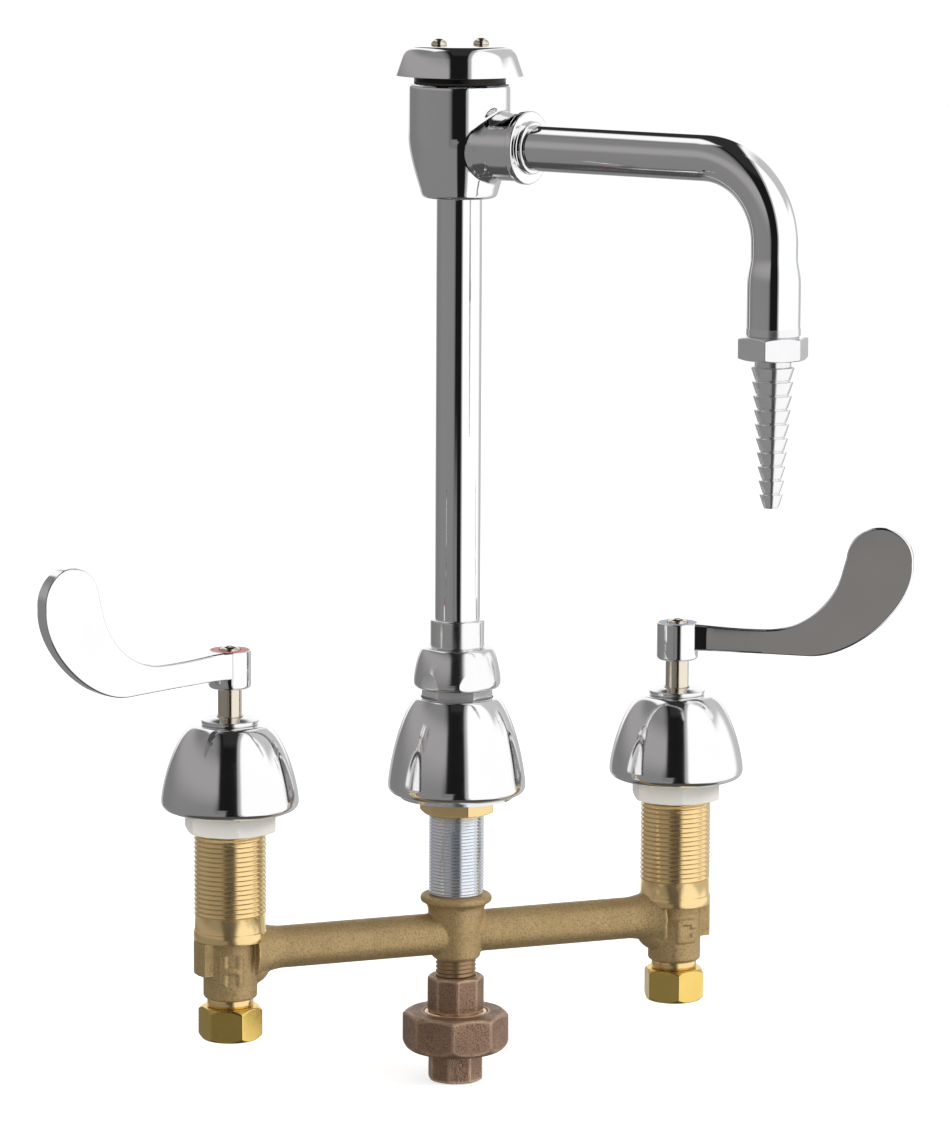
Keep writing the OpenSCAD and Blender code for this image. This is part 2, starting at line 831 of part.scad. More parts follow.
module ferrule(side) {
    low = neck_low - inlet_nut_h + nut_web;
    color(turned_brass)
        at_side(side)
            rotate_extrude()
                polygon([
                    [supply_r, low], [supply_r + 1, low], [supply_r + 1.8, low + 1.2],
                    [supply_r + 1.8, inlet_low - 0.7], [supply_r + 0.2, inlet_low + 0.9],
                    [supply_r, inlet_low + 0.9]
                ]);
}

module centre_nipple() {
    color(zinc)
        rotate_extrude()
            polygon([
                [nipple_bore / 2, nipple_low], [spigot_d / 2, nipple_low], [spigot_d / 2, tee_top],
                [nipple_r, tee_top], [nipple_r, nipple_above - 0.8],
                [nipple_r - 0.8, nipple_above], [nipple_bore / 2, nipple_above]
            ]);
}

module centre_locknut() {
    color(turned_brass)
        difference() {
            nut_blank(brass_nut_af / 2 / cos(30), 6, 26.5, -washer_t - brass_nut_h, -washer_t, 0.8);
            rod(nipple_r + fit, -washer_t - brass_nut_h - eps, eps);
        }
}

module centre_washer() {
    color(zinc)
        sleeve(nipple_r + fit, washer_d / 2, -washer_t, 0);
}

module centre_bell() {
    r = centre_bell_d / 2;
    color(chrome)
        bell_shell(adapter_corner_r + 0.3, adapter_corner_r + 2.5, r, centre_bell_h,
            [r - centre_shoulder_r, centre_bell_h - centre_shoulder], [r - belly_in, belly_z]);
}

module swivel_adapter() {
    color(chrome)
        difference() {
            union() {
                prism(adapter_corner_r, 6, 35.7, adapter_hex_low, adapter_top);
                rod(adapter_skirt_r, adapter_low, adapter_hex_low + 1);
                rod(thread_r, adapter_top, thread_top);
            }
            rod(nipple_r + fit, adapter_low - eps, nipple_above);
            rod(nipple_bore / 2, nipple_above - eps, riser_low);
            rod(socket_r, riser_low - 0.5, thread_top + eps);
            sleeve(socket_r - 0.5, swivel_ring_r + swivel_r + fit, swivel_z - groove_h, swivel_z + groove_h);
        }
}

module swivel_oring() {
    color(rubber)
        rotate_extrude()
            translate([swivel_ring_r, swivel_z])
                circle(r = swivel_r);
}

module swivel_washer() {
    color(nylon)
        sleeve(collar_r + 0.2, collar_flange_r, collar_flange_top + run,
            collar_flange_top + run + swivel_washer_t);
}

// Domed nut with six wrench flats that run out up its side
module coupling_nut() {
    shoulder_z = collar_flange_top + run + swivel_washer_t;
    top_r = collar_r + run + 1.4;
    color(chrome)
        difference() {
            intersection() {
                rotate_extrude()
                    polygon(concat(
                        [[0, coupling_low], [coupling_r - 2.8, coupling_low]],
                        arc([coupling_r - 2.4, coupling_low + 2.4], 2.4, -80, 10, 6),
                        curve([coupling_r - 0.1, coupling_low + 3.6], [coupling_r - 0.7, coupling_low + 8],
                            [coupling_r - 1.8, coupling_top - 4.4], [top_r + 2.4, coupling_top - 1.6], 8),
                        [[top_r + 1.2, coupling_top - 0.5], [top_r, coupling_top], [0, coupling_top]]
                    ));
                prism(coupling_af / 2 / cos(30), 6, 56.8, coupling_low - 1, coupling_top + 1);
            }
            rod(collar_r + run, coupling_low, coupling_top + eps);
            rod(thread_r + fit, coupling_low - eps, shoulder_z);
        }
}

module riser_collar() {
    color(chrome)
        rotate_extrude()
            polygon([
                [tube_r + 0.02, collar_flange_low], [collar_flange_r, collar_flange_low],
                [collar_flange_r, collar_flange_top], [collar_r, collar_flange_top],
                [collar_r, collar_top - 1], [collar_r - 0.8, collar_top], [tube_r + 0.02, collar_top]
            ]);
}

module riser_pipe() {
    color(chrome)
        sleeve(tube_in_r, tube_r, riser_low, riser_top);
}

// Body outline: straight above the spout's axis, drawn in to the riser below it
module vb_outline() {
    polygon(concat(
        [[0, vb_bottom], [vb_low_r - 2, vb_bottom]],
        arc([vb_low_r - 2, vb_bottom + 2.2], 2.2, -90, -10, 4),
        curve([vb_low_r + 0.6, vb_bottom + 3.4], [vb_low_r + 3, vb_bottom + 11],
            [vb_r, spout_z - 3], [vb_r, spout_z + 5], 10),
        arc([vb_r - 1.8, vb_top - 1.8], 1.8, 0, 90, 5),
        [[0, vb_top]]
    ));
}

module vacuum_breaker_body() {
    color(chrome)
        difference() {
            union() {
                rotate_extrude() vb_outline();
                toward_spout()
                    translate([0, 0, spout_z])
                        rotate([0, 90, 0]) {
                            cylinder(r = vb_arm_d / 2, h = vb_arm_l);
                            translate([0, 0, vb_r - 5])
                                cylinder(r1 = vb_arm_d / 2 + 2, r2 = vb_arm_d / 2, h = 5.5);
                        }
            }
            difference() {
                rod(chamber_r, chamber_low, vb_top + eps);
                rod(inlet_seat_r, chamber_low - eps, seat_top);
            }
            rod(bonnet_r + fit, bonnet_low - 0.3, vb_top + eps);
            rod(inlet_seat_bore, riser_top - eps, seat_top + eps);
            rod(tube_r + fit, vb_bottom - eps, riser_top);
            toward_spout()
                translate([inlet_seat_r + 2.5, 0, spout_z])
                    rotate([0, 90, 0]) {
                        cylinder(r = tube_in_r, h = vb_arm_l);
                        translate([0, 0, tube_start - inlet_seat_r - 2.5])
                            cylinder(r = tube_r + fit, h = vb_arm_l);
                    }
        }
}

module vacuum_breaker_float() {
    color(nylon)
        rotate_extrude()
            polygon([
                [0, float_low], [float_r, float_low], [float_r, float_top - 0.6],
                [float_r - 0.6, float_top], [float_stem_r, float_top],
                [float_stem_r, float_stem_top], [0, float_stem_top]
            ]);
}

// Vented plug: an air seat below, a guide for the float's stem, and two posts for the cap
module vacuum_breaker_bonnet() {
    web_low = bonnet_low + 1;
    color(turned_brass)
        difference() {
            union() {
                sleeve(air_port_r, bonnet_r, bonnet_low, gasket_top);
                sleeve(air_port_r, air_port_r + 2, air_seat_z, bonnet_low);
                sleeve(air_port_r, bonnet_flange_r, gasket_top, bonnet_top);
                rod(float_stem_r + 2.4, web_low, web_low + 6);
                translate([-air_port_r - 0.5, -1.6, web_low])
                    cube([2 * air_port_r + 1, 3.2, 6]);
                for (i = [-1, 1])
                    translate([i * cap_screw_x, 0, 0])
                        rod(post_r, web_low, cap_top - cap_wall);
            }
            rod(float_stem_r + run, web_low - 1, web_low + 7);
            for (i = [-1, 1])
                translate([i * cap_screw_x, 0, 0])
                    rod(cap_screw_r + fit, cap_low, cap_top);
        }
}

module bonnet_gasket() {
    color(rubber)
        sleeve(bonnet_r + 0.2, bonnet_flange_r, vb_top, gasket_top);
}

module vacuum_breaker_cap() {
    top_r = cap_r - 7.2;
    color(chrome)
        difference() {
            rotate_extrude()
                polygon(concat(
                    [[0, cap_top], [top_r, cap_top]],
                    curve([top_r + 0.8, cap_top - 0.1], [top_r + 2.6, cap_top - 0.4],
                        [cap_r - 3.2, cap_top - 3.2], [cap_r - 2.4, cap_top - 5.4], 6),
                    [[cap_r, cap_low], [cap_r - cap_wall, cap_low]],
                    [[cap_r - 2.4 - cap_wall, cap_top - 5.8], [cap_r - 5.2 - cap_wall, cap_top - cap_wall - 1.4]],
                    [[top_r - 1, cap_top - cap_wall], [0, cap_top - cap_wall]]
                ));
            for (i = [-1, 1])
                translate([i * cap_screw_x, 0, 0])
                    rod(cap_screw_r + fit, cap_low, cap_top + eps);
        }
}

module cap_screws() {
    color(chrome)
        for (i = [-1, 1])
            translate([i * cap_screw_x, 0, 0])
                rotate_extrude()
                    polygon(concat(
                        [[0, cap_low + 1], [cap_screw_r, cap_low + 1], [cap_screw_r, cap_top]],
                        curve([cap_screw_head_r, cap_top], [cap_screw_head_r, cap_top + 1.8],
                            [1.8, cap_top + cap_screw_head_h], [0, cap_top + cap_screw_head_h], 6)
                    ));
}

module arm_collar() {
    end = vb_arm_l + ring_t;
    color(chrome)
        toward_spout()
            translate([0, 0, spout_z])
                rotate([0, 90, 0])
                    rotate_extrude()
                        polygon([
                            [tube_r + 0.02, vb_arm_l], [ring_d / 2 - 0.5, vb_arm_l],
                            [ring_d / 2, vb_arm_l + 0.5], [ring_d / 2, end - 0.6],
                            [ring_d / 2 - 0.6, end], [tube_r + 1.4, end],
                            [tube_r + 1.4, end + step_t - 0.5], [tube_r + 0.9, end + step_t],
                            [tube_r + 0.02, end + step_t]
                        ]);
}

// The run, the bend and the drop of the spout at one radius
module spout_run(r, swage, over) {
    translate([0, 0, spout_z])
        rotate([0, 90, 0])
            translate([0, 0, tube_start - over])
                cylinder(r = r, h = bend_x - tube_start + over);
    translate([bend_x, 0, bend_z])
        rotate([90, 0, 0])
            rotate_extrude(angle = 90)
                translate([bend_r, 0])
                    circle(r = r);
    translate([reach, 0, 0])
        rotate_extrude()
            polygon([
                [0, bend_z], [r, bend_z], [r, swage_top + swage_taper], [swage, swage_top],
                [swage, drop_z - over], [0, drop_z - over]
            ]);
}

module spout_tube() {
    color(chrome)
        toward_spout()
            difference() {
                spout_run(tube_r, swage_r, 0);
                spout_run(tube_in_r, swage_r - tube_wall, eps);
            }
}

module outlet_fitting() {
    sleeve_top = drop_z + outlet_sleeve_h;
    color(chrome)
        toward_spout()
            translate([reach, 0, 0])
                rotate_extrude()
                    polygon([
                        [outlet_bore_r, outlet_low], [swage_r - 0.3, outlet_low],
                        [swage_r + 0.2, outlet_low + 0.5], [swage_r + 0.2, drop_z],
                        [outlet_sleeve_r, drop_z], [outlet_sleeve_r, sleeve_top],
                        [outlet_bore_r - outlet_lip, sleeve_top],
                        [outlet_bore_r - outlet_lip, sleeve_top - outlet_lip],
                        [outlet_bore_r, sleeve_top - outlet_lip]
                    ]);
}

module nozzle_gasket() {
    color(rubber)
        toward_spout()
            translate([reach, 0, 0])
                sleeve(outlet_bore_r - outlet_lip, outlet_bore_r - fit, gasket_low,
                    gasket_low + nozzle_gasket_t);
}

// Hex over a run of barbs that step down in size, bored right through
module hose_nozzle() {
    spigot_r = outlet_bore_r - fit;
    color(chrome)
        toward_spout()
            translate([reach, 0, 0])
                difference() {
                    union() {
                        rod(spigot_r, outlet_low - eps, gasket_low);
                        nut_blank(nozzle_af / 2 / cos(30), 6, 51.8 + spout_angle, hex_low, outlet_low, 0.8);
                        rotate_extrude()
                            polygon(concat(
                                [[0, hex_low + eps], [barb_top_r - barb_depth - 0.2, hex_low + eps]],
                                [[barb_top_r - barb_depth - 0.2, barb_start]],
                                [
                                    for (i = [0:barbs - 1], k = [0, 1])
                                        k == 0
                                            ? [barb_top_r - i * barb_step, barb_start - i * barb_pitch]
                                            : [barb_top_r - i * barb_step - barb_depth,
                                                barb_start - (i + 1) * barb_pitch + 0.3]
                                ],
                                [[nozzle_end_r, nozzle_low - 0.2], [0, nozzle_low - 0.2]]
                            ));
                    }
                    rod(nozzle_bore / 2, nozzle_low - 1, gasket_low + eps);
                }
}

module close_nipple() {
    color(turned_brass)
        sleeve(pipe_bore / 2, pipe_r, pipe_low, pipe_top);
}

// Upper half of the union: octagon, polished bead, and the flange that the nut pulls down on
module union_tailpiece() {
    color(bronze)
        difference() {
            union() {
                nut_blank(tail_corners / 2, 8, 27.6, tail_low, tail_top, 0.7);
                rod(bead_r, tail_low - bead_h, tail_low);
                rod(bead_r, tail_low - union_lip, tail_low - bead_h);
                rod(tail_flange_r, union_seat, tail_low - union_lip);
            }
            rod(pipe_r + fit, pipe_low, tail_top + eps);
            rod(pipe_bore / 2, union_seat - eps, pipe_low + eps);
        }
}

module union_nut() {
    corner_r = union_corners / 2;
    flat_r = corner_r * cos(22.5);
    color(bronze)
        difference() {
            intersection() {
                prism(corner_r, 8, 20.6, union_low, union_top);
                rotate_extrude()
                    polygon(concat(
                        [[0, union_low], [flat_r - 3, union_low]],
                        curve([flat_r - 1.6, union_low + 0.5], [flat_r + 0.6, union_low + 1.6],
                            [corner_r, union_low + 3.4], [corner_r + 0.1, union_low + 5.6], 5),
                        [[corner_r + 0.1, union_top - 1.2], [flat_r - 0.3, union_top], [0, union_top]]
                    ));
            }
            rod(bead_r + 0.2, union_top - union_lip - eps, union_top + eps);
            rod(union_thread_r + fit, union_low - eps, union_top - union_lip);
        }
}

// Lower half of the union: its male thread runs up inside the nut
module union_end() {
    color(bronze)
        difference() {
            union() {
                nut_blank(end_corners / 2, 8, 10.1, end_low, union_low + 0.6, 0.7);
                rod(union_thread_r, union_low + 0.4, union_seat);
            }
            rod(end_thread_r, end_low - eps, union_low - 0.7);
            rod(pipe_bore / 2, end_low - eps, union_seat + eps);
        }
}

valve_body();
locknut(hot);  // hot_locknut
locknut(cold);  // cold_locknut
side_bell(hot);  // hot_bell
side_bell(cold);  // cold_bell
cap_nut(hot);  // hot_cap_nut
cap_nut(cold);  // cold_cap_nut
cartridge(hot);  // hot_cartridge
cartridge(cold);  // cold_cartridge
stem(hot);  // hot_stem
stem(cold);  // cold_stem
stem_oring(hot);  // hot_stem_oring
stem_oring(cold);  // cold_stem_oring
rotating_disc(hot);  // hot_rotating_disc
rotating_disc(cold);  // cold_rotating_disc
fixed_disc(hot);  // hot_fixed_disc
fixed_disc(cold);  // cold_fixed_disc
seat_gasket(hot);  // hot_seat_gasket
seat_gasket(cold);  // cold_seat_gasket
handle(hot);  // hot_handle
handle(cold);  // cold_handle
index_ring(hot);  // hot_index_ring
index_ring(cold);  // cold_index_ring
handle_screw(hot);  // hot_handle_screw
handle_screw(cold);  // cold_handle_screw
inlet_nut(hot);  // hot_inlet_nut
inlet_nut(cold);  // cold_inlet_nut
ferrule(hot);  // hot_ferrule
ferrule(cold);  // cold_ferrule
centre_nipple();
centre_locknut();
centre_washer();
centre_bell();
swivel_adapter();
swivel_oring();
swivel_washer();
coupling_nut();
riser_collar();
riser_pipe();
vacuum_breaker_body();
vacuum_breaker_float();
vacuum_breaker_bonnet();
bonnet_gasket();
vacuum_breaker_cap();
cap_screws();
arm_collar();
spout_tube();
outlet_fitting();
nozzle_gasket();
hose_nozzle();
close_nipple();
union_tailpiece();
union_nut();
union_end();
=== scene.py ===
# %% [markdown]
# A deck-mounted laboratory faucet, dressed for a studio picture. The working parts come from
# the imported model, and each cell below swaps one of them for a finely shaped piece or gives
# it its real finish. Distances in the cells are millimetres unless a name says otherwise.

# %% Load the frame
import json
import math

import bmesh
import bpy
from mathutils import Matrix, Vector, geometry, noise


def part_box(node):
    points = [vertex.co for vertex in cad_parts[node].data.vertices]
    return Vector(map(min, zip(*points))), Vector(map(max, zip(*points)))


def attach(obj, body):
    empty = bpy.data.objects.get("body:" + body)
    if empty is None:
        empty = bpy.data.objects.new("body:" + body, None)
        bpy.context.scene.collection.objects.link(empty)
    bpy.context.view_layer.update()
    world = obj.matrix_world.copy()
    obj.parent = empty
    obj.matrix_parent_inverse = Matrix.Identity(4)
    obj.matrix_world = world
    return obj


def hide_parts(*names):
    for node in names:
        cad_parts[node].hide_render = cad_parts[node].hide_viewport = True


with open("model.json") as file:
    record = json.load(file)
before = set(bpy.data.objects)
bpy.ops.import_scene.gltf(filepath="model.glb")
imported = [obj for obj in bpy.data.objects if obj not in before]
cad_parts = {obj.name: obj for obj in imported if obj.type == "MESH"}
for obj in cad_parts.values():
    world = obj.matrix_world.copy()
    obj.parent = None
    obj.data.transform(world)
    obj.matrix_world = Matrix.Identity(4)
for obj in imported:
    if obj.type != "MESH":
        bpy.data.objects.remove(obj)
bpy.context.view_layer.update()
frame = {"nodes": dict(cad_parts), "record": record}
nodes = frame["nodes"]
print("pieces in the frame:", len(nodes))

# %% [markdown]
# The photograph was taken from the left, a little above the valves, with a long lens. The
# camera's place is written as a heading, a tilt and a distance, because those three are what
# a photographer sets, and the small roll is the one the picture has.

# %% Camera at the photograph's angle
heading, tilt, roll = (math.radians(a) for a in (21.87, 8.80, 0.30))
look = Vector((math.sin(heading) * math.cos(tilt), math.cos(heading) * math.cos(tilt), -math.sin(tilt)))
level = Vector((math.cos(heading), -math.sin(heading), 0))
rise = level.cross(look)
right = math.cos(roll) * level + math.sin(roll) * rise
up = math.cos(roll) * rise - math.sin(roll) * level
eye = 0.0078 * right + 0.0975 * up - 2.3 * look

camera = bpy.data.objects.new("camera", bpy.data.cameras.new("camera"))
camera.data.sensor_width = 36
camera.data.lens = 5428 / 1125 * 36
camera.data.clip_end = 50
camera.matrix_world = Matrix.Translation(eye) @ Matrix((right, up, -look)).transposed().to_4x4()
bpy.context.collection.objects.link(camera)
bpy.context.scene.camera = camera
print("camera stands at", [round(v, 3) for v in eye])

# %% [markdown]
# Most pieces of a faucet are turned on a lathe, so most pieces here are a spun outline. Nuts
# begin as a prism. The helpers take millimetres, keep every mesh in its real place, and add a
# narrow bevel to the sharp edges, since no plated edge is truly sharp.

# %% Helpers that shape a mesh
MM = 0.001


def bezier(p0, p1, p2, p3, count=16):
    """Points of (radius, height) on a curve from p0 to p3, pulled toward p1 and p2."""
    points = geometry.interpolate_bezier(*[Vector((*p, 0)) for p in (p0, p1, p2, p3)], count)
    return [(p.x, p.y) for p in points]


def spun(outline, steps=128, closed=True):
    """A turned solid: the outline spins once round the vertical axis."""
    bm = bmesh.new()
    ring = [bm.verts.new((r * MM, 0, z * MM)) for r, z in outline]
    pairs = list(zip(ring, ring[1:])) + ([(ring[-1], ring[0])] if closed else [])
    edges = [bm.edges.new(pair) for pair in pairs]
    bmesh.ops.spin(bm, geom=ring + edges, cent=(0, 0, 0), axis=(0, 0, 1), dvec=(0, 0, 0),
                   angle=math.tau, steps=steps, use_merge=True, use_duplicate=False)
    bmesh.ops.remove_doubles(bm, verts=bm.verts, dist=1e-6)
    bmesh.ops.recalc_face_normals(bm, faces=bm.faces)
    return bm


def prism(sides, corner_r, turn, z0, z1, corner_r2=None):
    """A nut blank over its corners, with one corner at the angle turn from +X."""
    bm = bmesh.new()
    bmesh.ops.create_cone(bm, cap_ends=True, segments=sides, radius1=corner_r * MM,
                          radius2=(corner_r2 or corner_r) * MM, depth=(z1 - z0) * MM)
    first = max(bm.verts, key=lambda v: (round(v.co.x, 6), v.co.y)).co
    angle = math.radians(turn) - math.atan2(first.y, first.x)
    bmesh.ops.rotate(bm, verts=bm.verts, cent=(0, 0, 0), matrix=Matrix.Rotation(angle, 3, "Z"))
    bmesh.ops.translate(bm, verts=bm.verts, vec=(0, 0, (z0 + z1) / 2 * MM))
    return bm


def moved(bm, x=0, y=0, z=0):
    bmesh.ops.translate(bm, verts=bm.verts, vec=(x * MM, y * MM, z * MM))
    return bm


def as_object(bm, name):
    mesh = bpy.data.meshes.new(name)
    bm.to_mesh(mesh)
    bm.free()
    obj = bpy.data.objects.new(name, mesh)
    bpy.context.collection.objects.link(obj)
    return obj


def settled(obj):
    """Applies the modifiers, so that the next step works on the finished mesh."""
    seen = obj.evaluated_get(bpy.context.evaluated_depsgraph_get())
    mesh = bpy.data.meshes.new_from_object(seen)
    obj.modifiers.clear()
    obj.data = mesh
    return obj


def combine(obj, other, how):
    """Cuts, joins or intersects obj with a helper mesh, which is then thrown away."""
    tool = as_object(other, "helper")
    cut = obj.modifiers.new("combine", "BOOLEAN")
    cut.operation = how
    cut.solver = "EXACT"
    cut.object = tool
    settled(obj)
    bpy.data.objects.remove(tool)
    return obj


def edge_bevel(obj, width, segments=3, angle=28):
    bevel = obj.modifiers.new("edge", "BEVEL")
    bevel.width = width * MM
    bevel.segments = segments
    bevel.limit_method = "ANGLE"
    bevel.angle_limit = math.radians(angle)
    bevel.harden_normals = True
    return obj


def finished(obj, body, finish, stands_for=(), bevel=0.0, angle=28):
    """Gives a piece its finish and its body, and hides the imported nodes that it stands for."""
    obj.data.materials.clear()
    obj.data.materials.append(finish)
    obj.data.shade_smooth()
    if bevel:
        edge_bevel(obj, bevel, angle=angle)
    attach(obj, body)
    if stands_for:
        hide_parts(*stands_for)
    return obj


print("helpers ready")

# %% [markdown]
# Three effects turn up in more than one finish. Smudges vary a polished surface's roughness.
# Grain is the sand skin of a casting. Worn edges compare the true normal with a rounded one
# and so find the corners that handling has polished.

# %% Shared shader groups


def new_group(name, inputs, outputs):
    group = bpy.data.node_groups.new(name, "ShaderNodeTree")
    for kind, label, value in inputs:
        socket = group.interface.new_socket(label, in_out="INPUT", socket_type=kind)
        if value is not None:
            socket.default_value = value
    for kind, label in outputs:
        group.interface.new_socket(label, in_out="OUTPUT", socket_type=kind)
    tree = group.nodes
    return group, tree, group.links, tree.new("NodeGroupInput"), tree.new("NodeGroupOutput")


def smudge_group():
    inputs = [("NodeSocketFloat", "Scale", 60.0), ("NodeSocketFloat", "Low", 0.04), ("NodeSocketFloat", "High", 0.1)]
    group, tree, links, enter, leave = new_group("smudges", inputs, [("NodeSocketFloat", "Roughness")])
    place = tree.new("ShaderNodeTexCoord")
    cloud = tree.new("ShaderNodeTexNoise")
    cloud.inputs["Detail"].default_value = 6
    cloud.inputs["Roughness"].default_value = 0.6
    span = tree.new("ShaderNodeMapRange")
    span.inputs["From Min"].default_value = 0.35
    span.inputs["From Max"].default_value = 0.7
    links.new(place.outputs["Object"], cloud.inputs["Vector"])
    links.new(enter.outputs["Scale"], cloud.inputs["Scale"])
    links.new(cloud.outputs["Fac"], span.inputs["Value"])
    links.new(enter.outputs["Low"], span.inputs["To Min"])
    links.new(enter.outputs["High"], span.inputs["To Max"])
    links.new(span.outputs["Result"], leave.inputs["Roughness"])
    return group


def grain_group():
    inputs = [("NodeSocketFloat", "Scale", 900.0), ("NodeSocketFloat", "Lump", 160.0)]
    group, tree, links, enter, leave = new_group(
        "sand grain", inputs, [("NodeSocketFloat", "Height"), ("NodeSocketFloat", "Pits")])
    place = tree.new("ShaderNodeTexCoord")
    fine, coarse = tree.new("ShaderNodeTexNoise"), tree.new("ShaderNodeTexNoise")
    fine.inputs["Detail"].default_value = 3
    coarse.inputs["Detail"].default_value = 4
    blend = tree.new("ShaderNodeMath")
    blend.operation = "MULTIPLY_ADD"
    blend.inputs[1].default_value = 0.6
    pits = tree.new("ShaderNodeMapRange")
    pits.inputs["From Min"].default_value = 0.52
    pits.inputs["From Max"].default_value = 0.36
    for cloud, source in ((fine, "Scale"), (coarse, "Lump")):
        links.new(place.outputs["Object"], cloud.inputs["Vector"])
        links.new(enter.outputs[source], cloud.inputs["Scale"])
    links.new(fine.outputs["Fac"], blend.inputs[0])
    links.new(coarse.outputs["Fac"], blend.inputs[2])
    links.new(blend.outputs["Value"], leave.inputs["Height"])
    links.new(fine.outputs["Fac"], pits.inputs["Value"])
    links.new(pits.outputs["Result"], leave.inputs["Pits"])
    return group


def worn_edge_group():
    inputs = [("NodeSocketFloat", "Gain", 6.0), ("NodeSocketFloat", "Scale", 300.0)]
    group, tree, links, enter, leave = new_group("worn edges", inputs, [("NodeSocketFloat", "Mask")])
    rounded = tree.new("ShaderNodeBevel")
    rounded.samples = 6
    rounded.inputs["Radius"].default_value = 0.002
    surface = tree.new("ShaderNodeNewGeometry")
    match = tree.new("ShaderNodeVectorMath")
    match.operation = "DOT_PRODUCT"
    turn = tree.new("ShaderNodeMath")
    turn.operation = "SUBTRACT"
    turn.inputs[0].default_value = 1.0
    lift = tree.new("ShaderNodeMath")
    lift.operation = "MULTIPLY"
    place = tree.new("ShaderNodeTexCoord")
    cloud = tree.new("ShaderNodeTexNoise")
    broken = tree.new("ShaderNodeMath")
    broken.operation = "MULTIPLY"
    broken.use_clamp = True
    links.new(rounded.outputs["Normal"], match.inputs[0])
    links.new(surface.outputs["Normal"], match.inputs[1])
    links.new(match.outputs["Value"], turn.inputs[1])
    links.new(turn.outputs["Value"], lift.inputs[0])
    links.new(enter.outputs["Gain"], lift.inputs[1])
    links.new(place.outputs["Object"], cloud.inputs["Vector"])
    links.new(enter.outputs["Scale"], cloud.inputs["Scale"])
    links.new(lift.outputs["Value"], broken.inputs[0])
    links.new(cloud.outputs["Fac"], broken.inputs[1])
    links.new(broken.outputs["Value"], leave.inputs["Mask"])
    return group


smudges, grain, worn_edges = smudge_group(), grain_group(), worn_edge_group()
print("shader groups:", smudges.name, grain.name, worn_edges.name)

# %% [markdown]
# Polished plate is a plain metal whose look is all reflection, so its only texture is a faint
# change of roughness. Satin plate is the same with more of it. Turned brass keeps the fine
# rings of the tool, cast metal has grain, dark pits and rubbed edges, and the nylon lets a
# little light in.

# %% Metal finishes


def metal(name, colour, low, high, scale=60.0, second=None, rings=0.0, ring_scale=900.0, grain_depth=0.0,
          grain_scale=900.0, lump=160.0, pit_colour=None, edge_colour=None, edge_gain=6.0, metallic=1.0):
    finish = bpy.data.materials.new(name)
    finish.use_nodes = True
    tree, links = finish.node_tree.nodes, finish.node_tree.links
    shader = tree["Principled BSDF"]
    shader.inputs["Metallic"].default_value = metallic
    place = tree.new("ShaderNodeTexCoord")
    soil = tree.new("ShaderNodeGroup")
    soil.node_tree = smudges
    for label, value in (("Scale", scale), ("Low", low), ("High", high)):
        soil.inputs[label].default_value = value
    links.new(soil.outputs["Roughness"], shader.inputs["Roughness"])
    tint = tree.new("ShaderNodeTexNoise")
    tint.inputs["Scale"].default_value = scale * 0.7
    tint.inputs["Detail"].default_value = 5
    links.new(place.outputs["Object"], tint.inputs["Vector"])
    colours = tree.new("ShaderNodeMix")
    colours.data_type = "RGBA"
    colours.inputs[6].default_value = (*colour, 1)
    colours.inputs[7].default_value = (*(second or [c * 0.94 for c in colour]), 1)
    links.new(tint.outputs["Fac"], colours.inputs[0])
    last = colours.outputs[2]
    height = None
    if grain_depth:
        sand = tree.new("ShaderNodeGroup")
        sand.node_tree = grain
        sand.inputs["Scale"].default_value = grain_scale
        sand.inputs["Lump"].default_value = lump
        height = sand.outputs["Height"]
        if pit_colour:
            pits = tree.new("ShaderNodeMix")
            pits.data_type = "RGBA"
            pits.inputs[7].default_value = (*pit_colour, 1)
            links.new(sand.outputs["Pits"], pits.inputs[0])
            links.new(last, pits.inputs[6])
            last = pits.outputs[2]
    if rings:
        bands = tree.new("ShaderNodeTexWave")
        bands.bands_direction = "Z"
        bands.inputs["Scale"].default_value = ring_scale
        bands.inputs["Distortion"].default_value = 1.5
        links.new(place.outputs["Object"], bands.inputs["Vector"])
        height = bands.outputs["Fac"]
    if height is not None:
        bump = tree.new("ShaderNodeBump")
        bump.inputs["Strength"].default_value = 1.0
        bump.inputs["Distance"].default_value = (grain_depth or rings) * MM
        links.new(height, bump.inputs["Height"])
        links.new(bump.outputs["Normal"], shader.inputs["Normal"])
    if edge_colour:
        rubbed = tree.new("ShaderNodeGroup")
        rubbed.node_tree = worn_edges
        rubbed.inputs["Gain"].default_value = edge_gain
        bright = tree.new("ShaderNodeMix")
        bright.data_type = "RGBA"
        bright.inputs[7].default_value = (*edge_colour, 1)
        links.new(rubbed.outputs["Mask"], bright.inputs[0])
        links.new(last, bright.inputs[6])
        last = bright.outputs[2]
    links.new(last, shader.inputs["Base Color"])
    return finish


chrome = metal("polished chrome", (0.90, 0.90, 0.91), 0.035, 0.07)
spun_chrome = metal("spun chrome", (0.90, 0.895, 0.90), 0.08, 0.12)
soft_chrome = metal("soft chrome", (0.88, 0.88, 0.88), 0.14, 0.20)
# Painted light: a copy of the plating made partly diffuse, so that lamps brighten the swivel adapter in the shade
# between the centre bell and the coupling nut.
painted_light_plate = metal("plate painted with light", (0.88, 0.88, 0.88), 0.20, 0.28, metallic=0.7)
satin = metal("satin chrome", (0.86, 0.86, 0.87), 0.10, 0.18, scale=200, rings=0.006, ring_scale=500, metallic=0.92)
nickel = metal("nickel brass", (0.78, 0.70, 0.58), 0.10, 0.18, scale=150)
turned_brass = metal("turned brass", (0.95, 0.71, 0.36), 0.15, 0.24, scale=120, second=(0.84, 0.61, 0.29),
                     rings=0.006, ring_scale=700, metallic=0.88)
nut_brass = metal("nut brass", (0.88, 0.64, 0.19), 0.20, 0.30, scale=200, second=(0.78, 0.55, 0.15),
                  grain_depth=0.006, grain_scale=1600, lump=500)
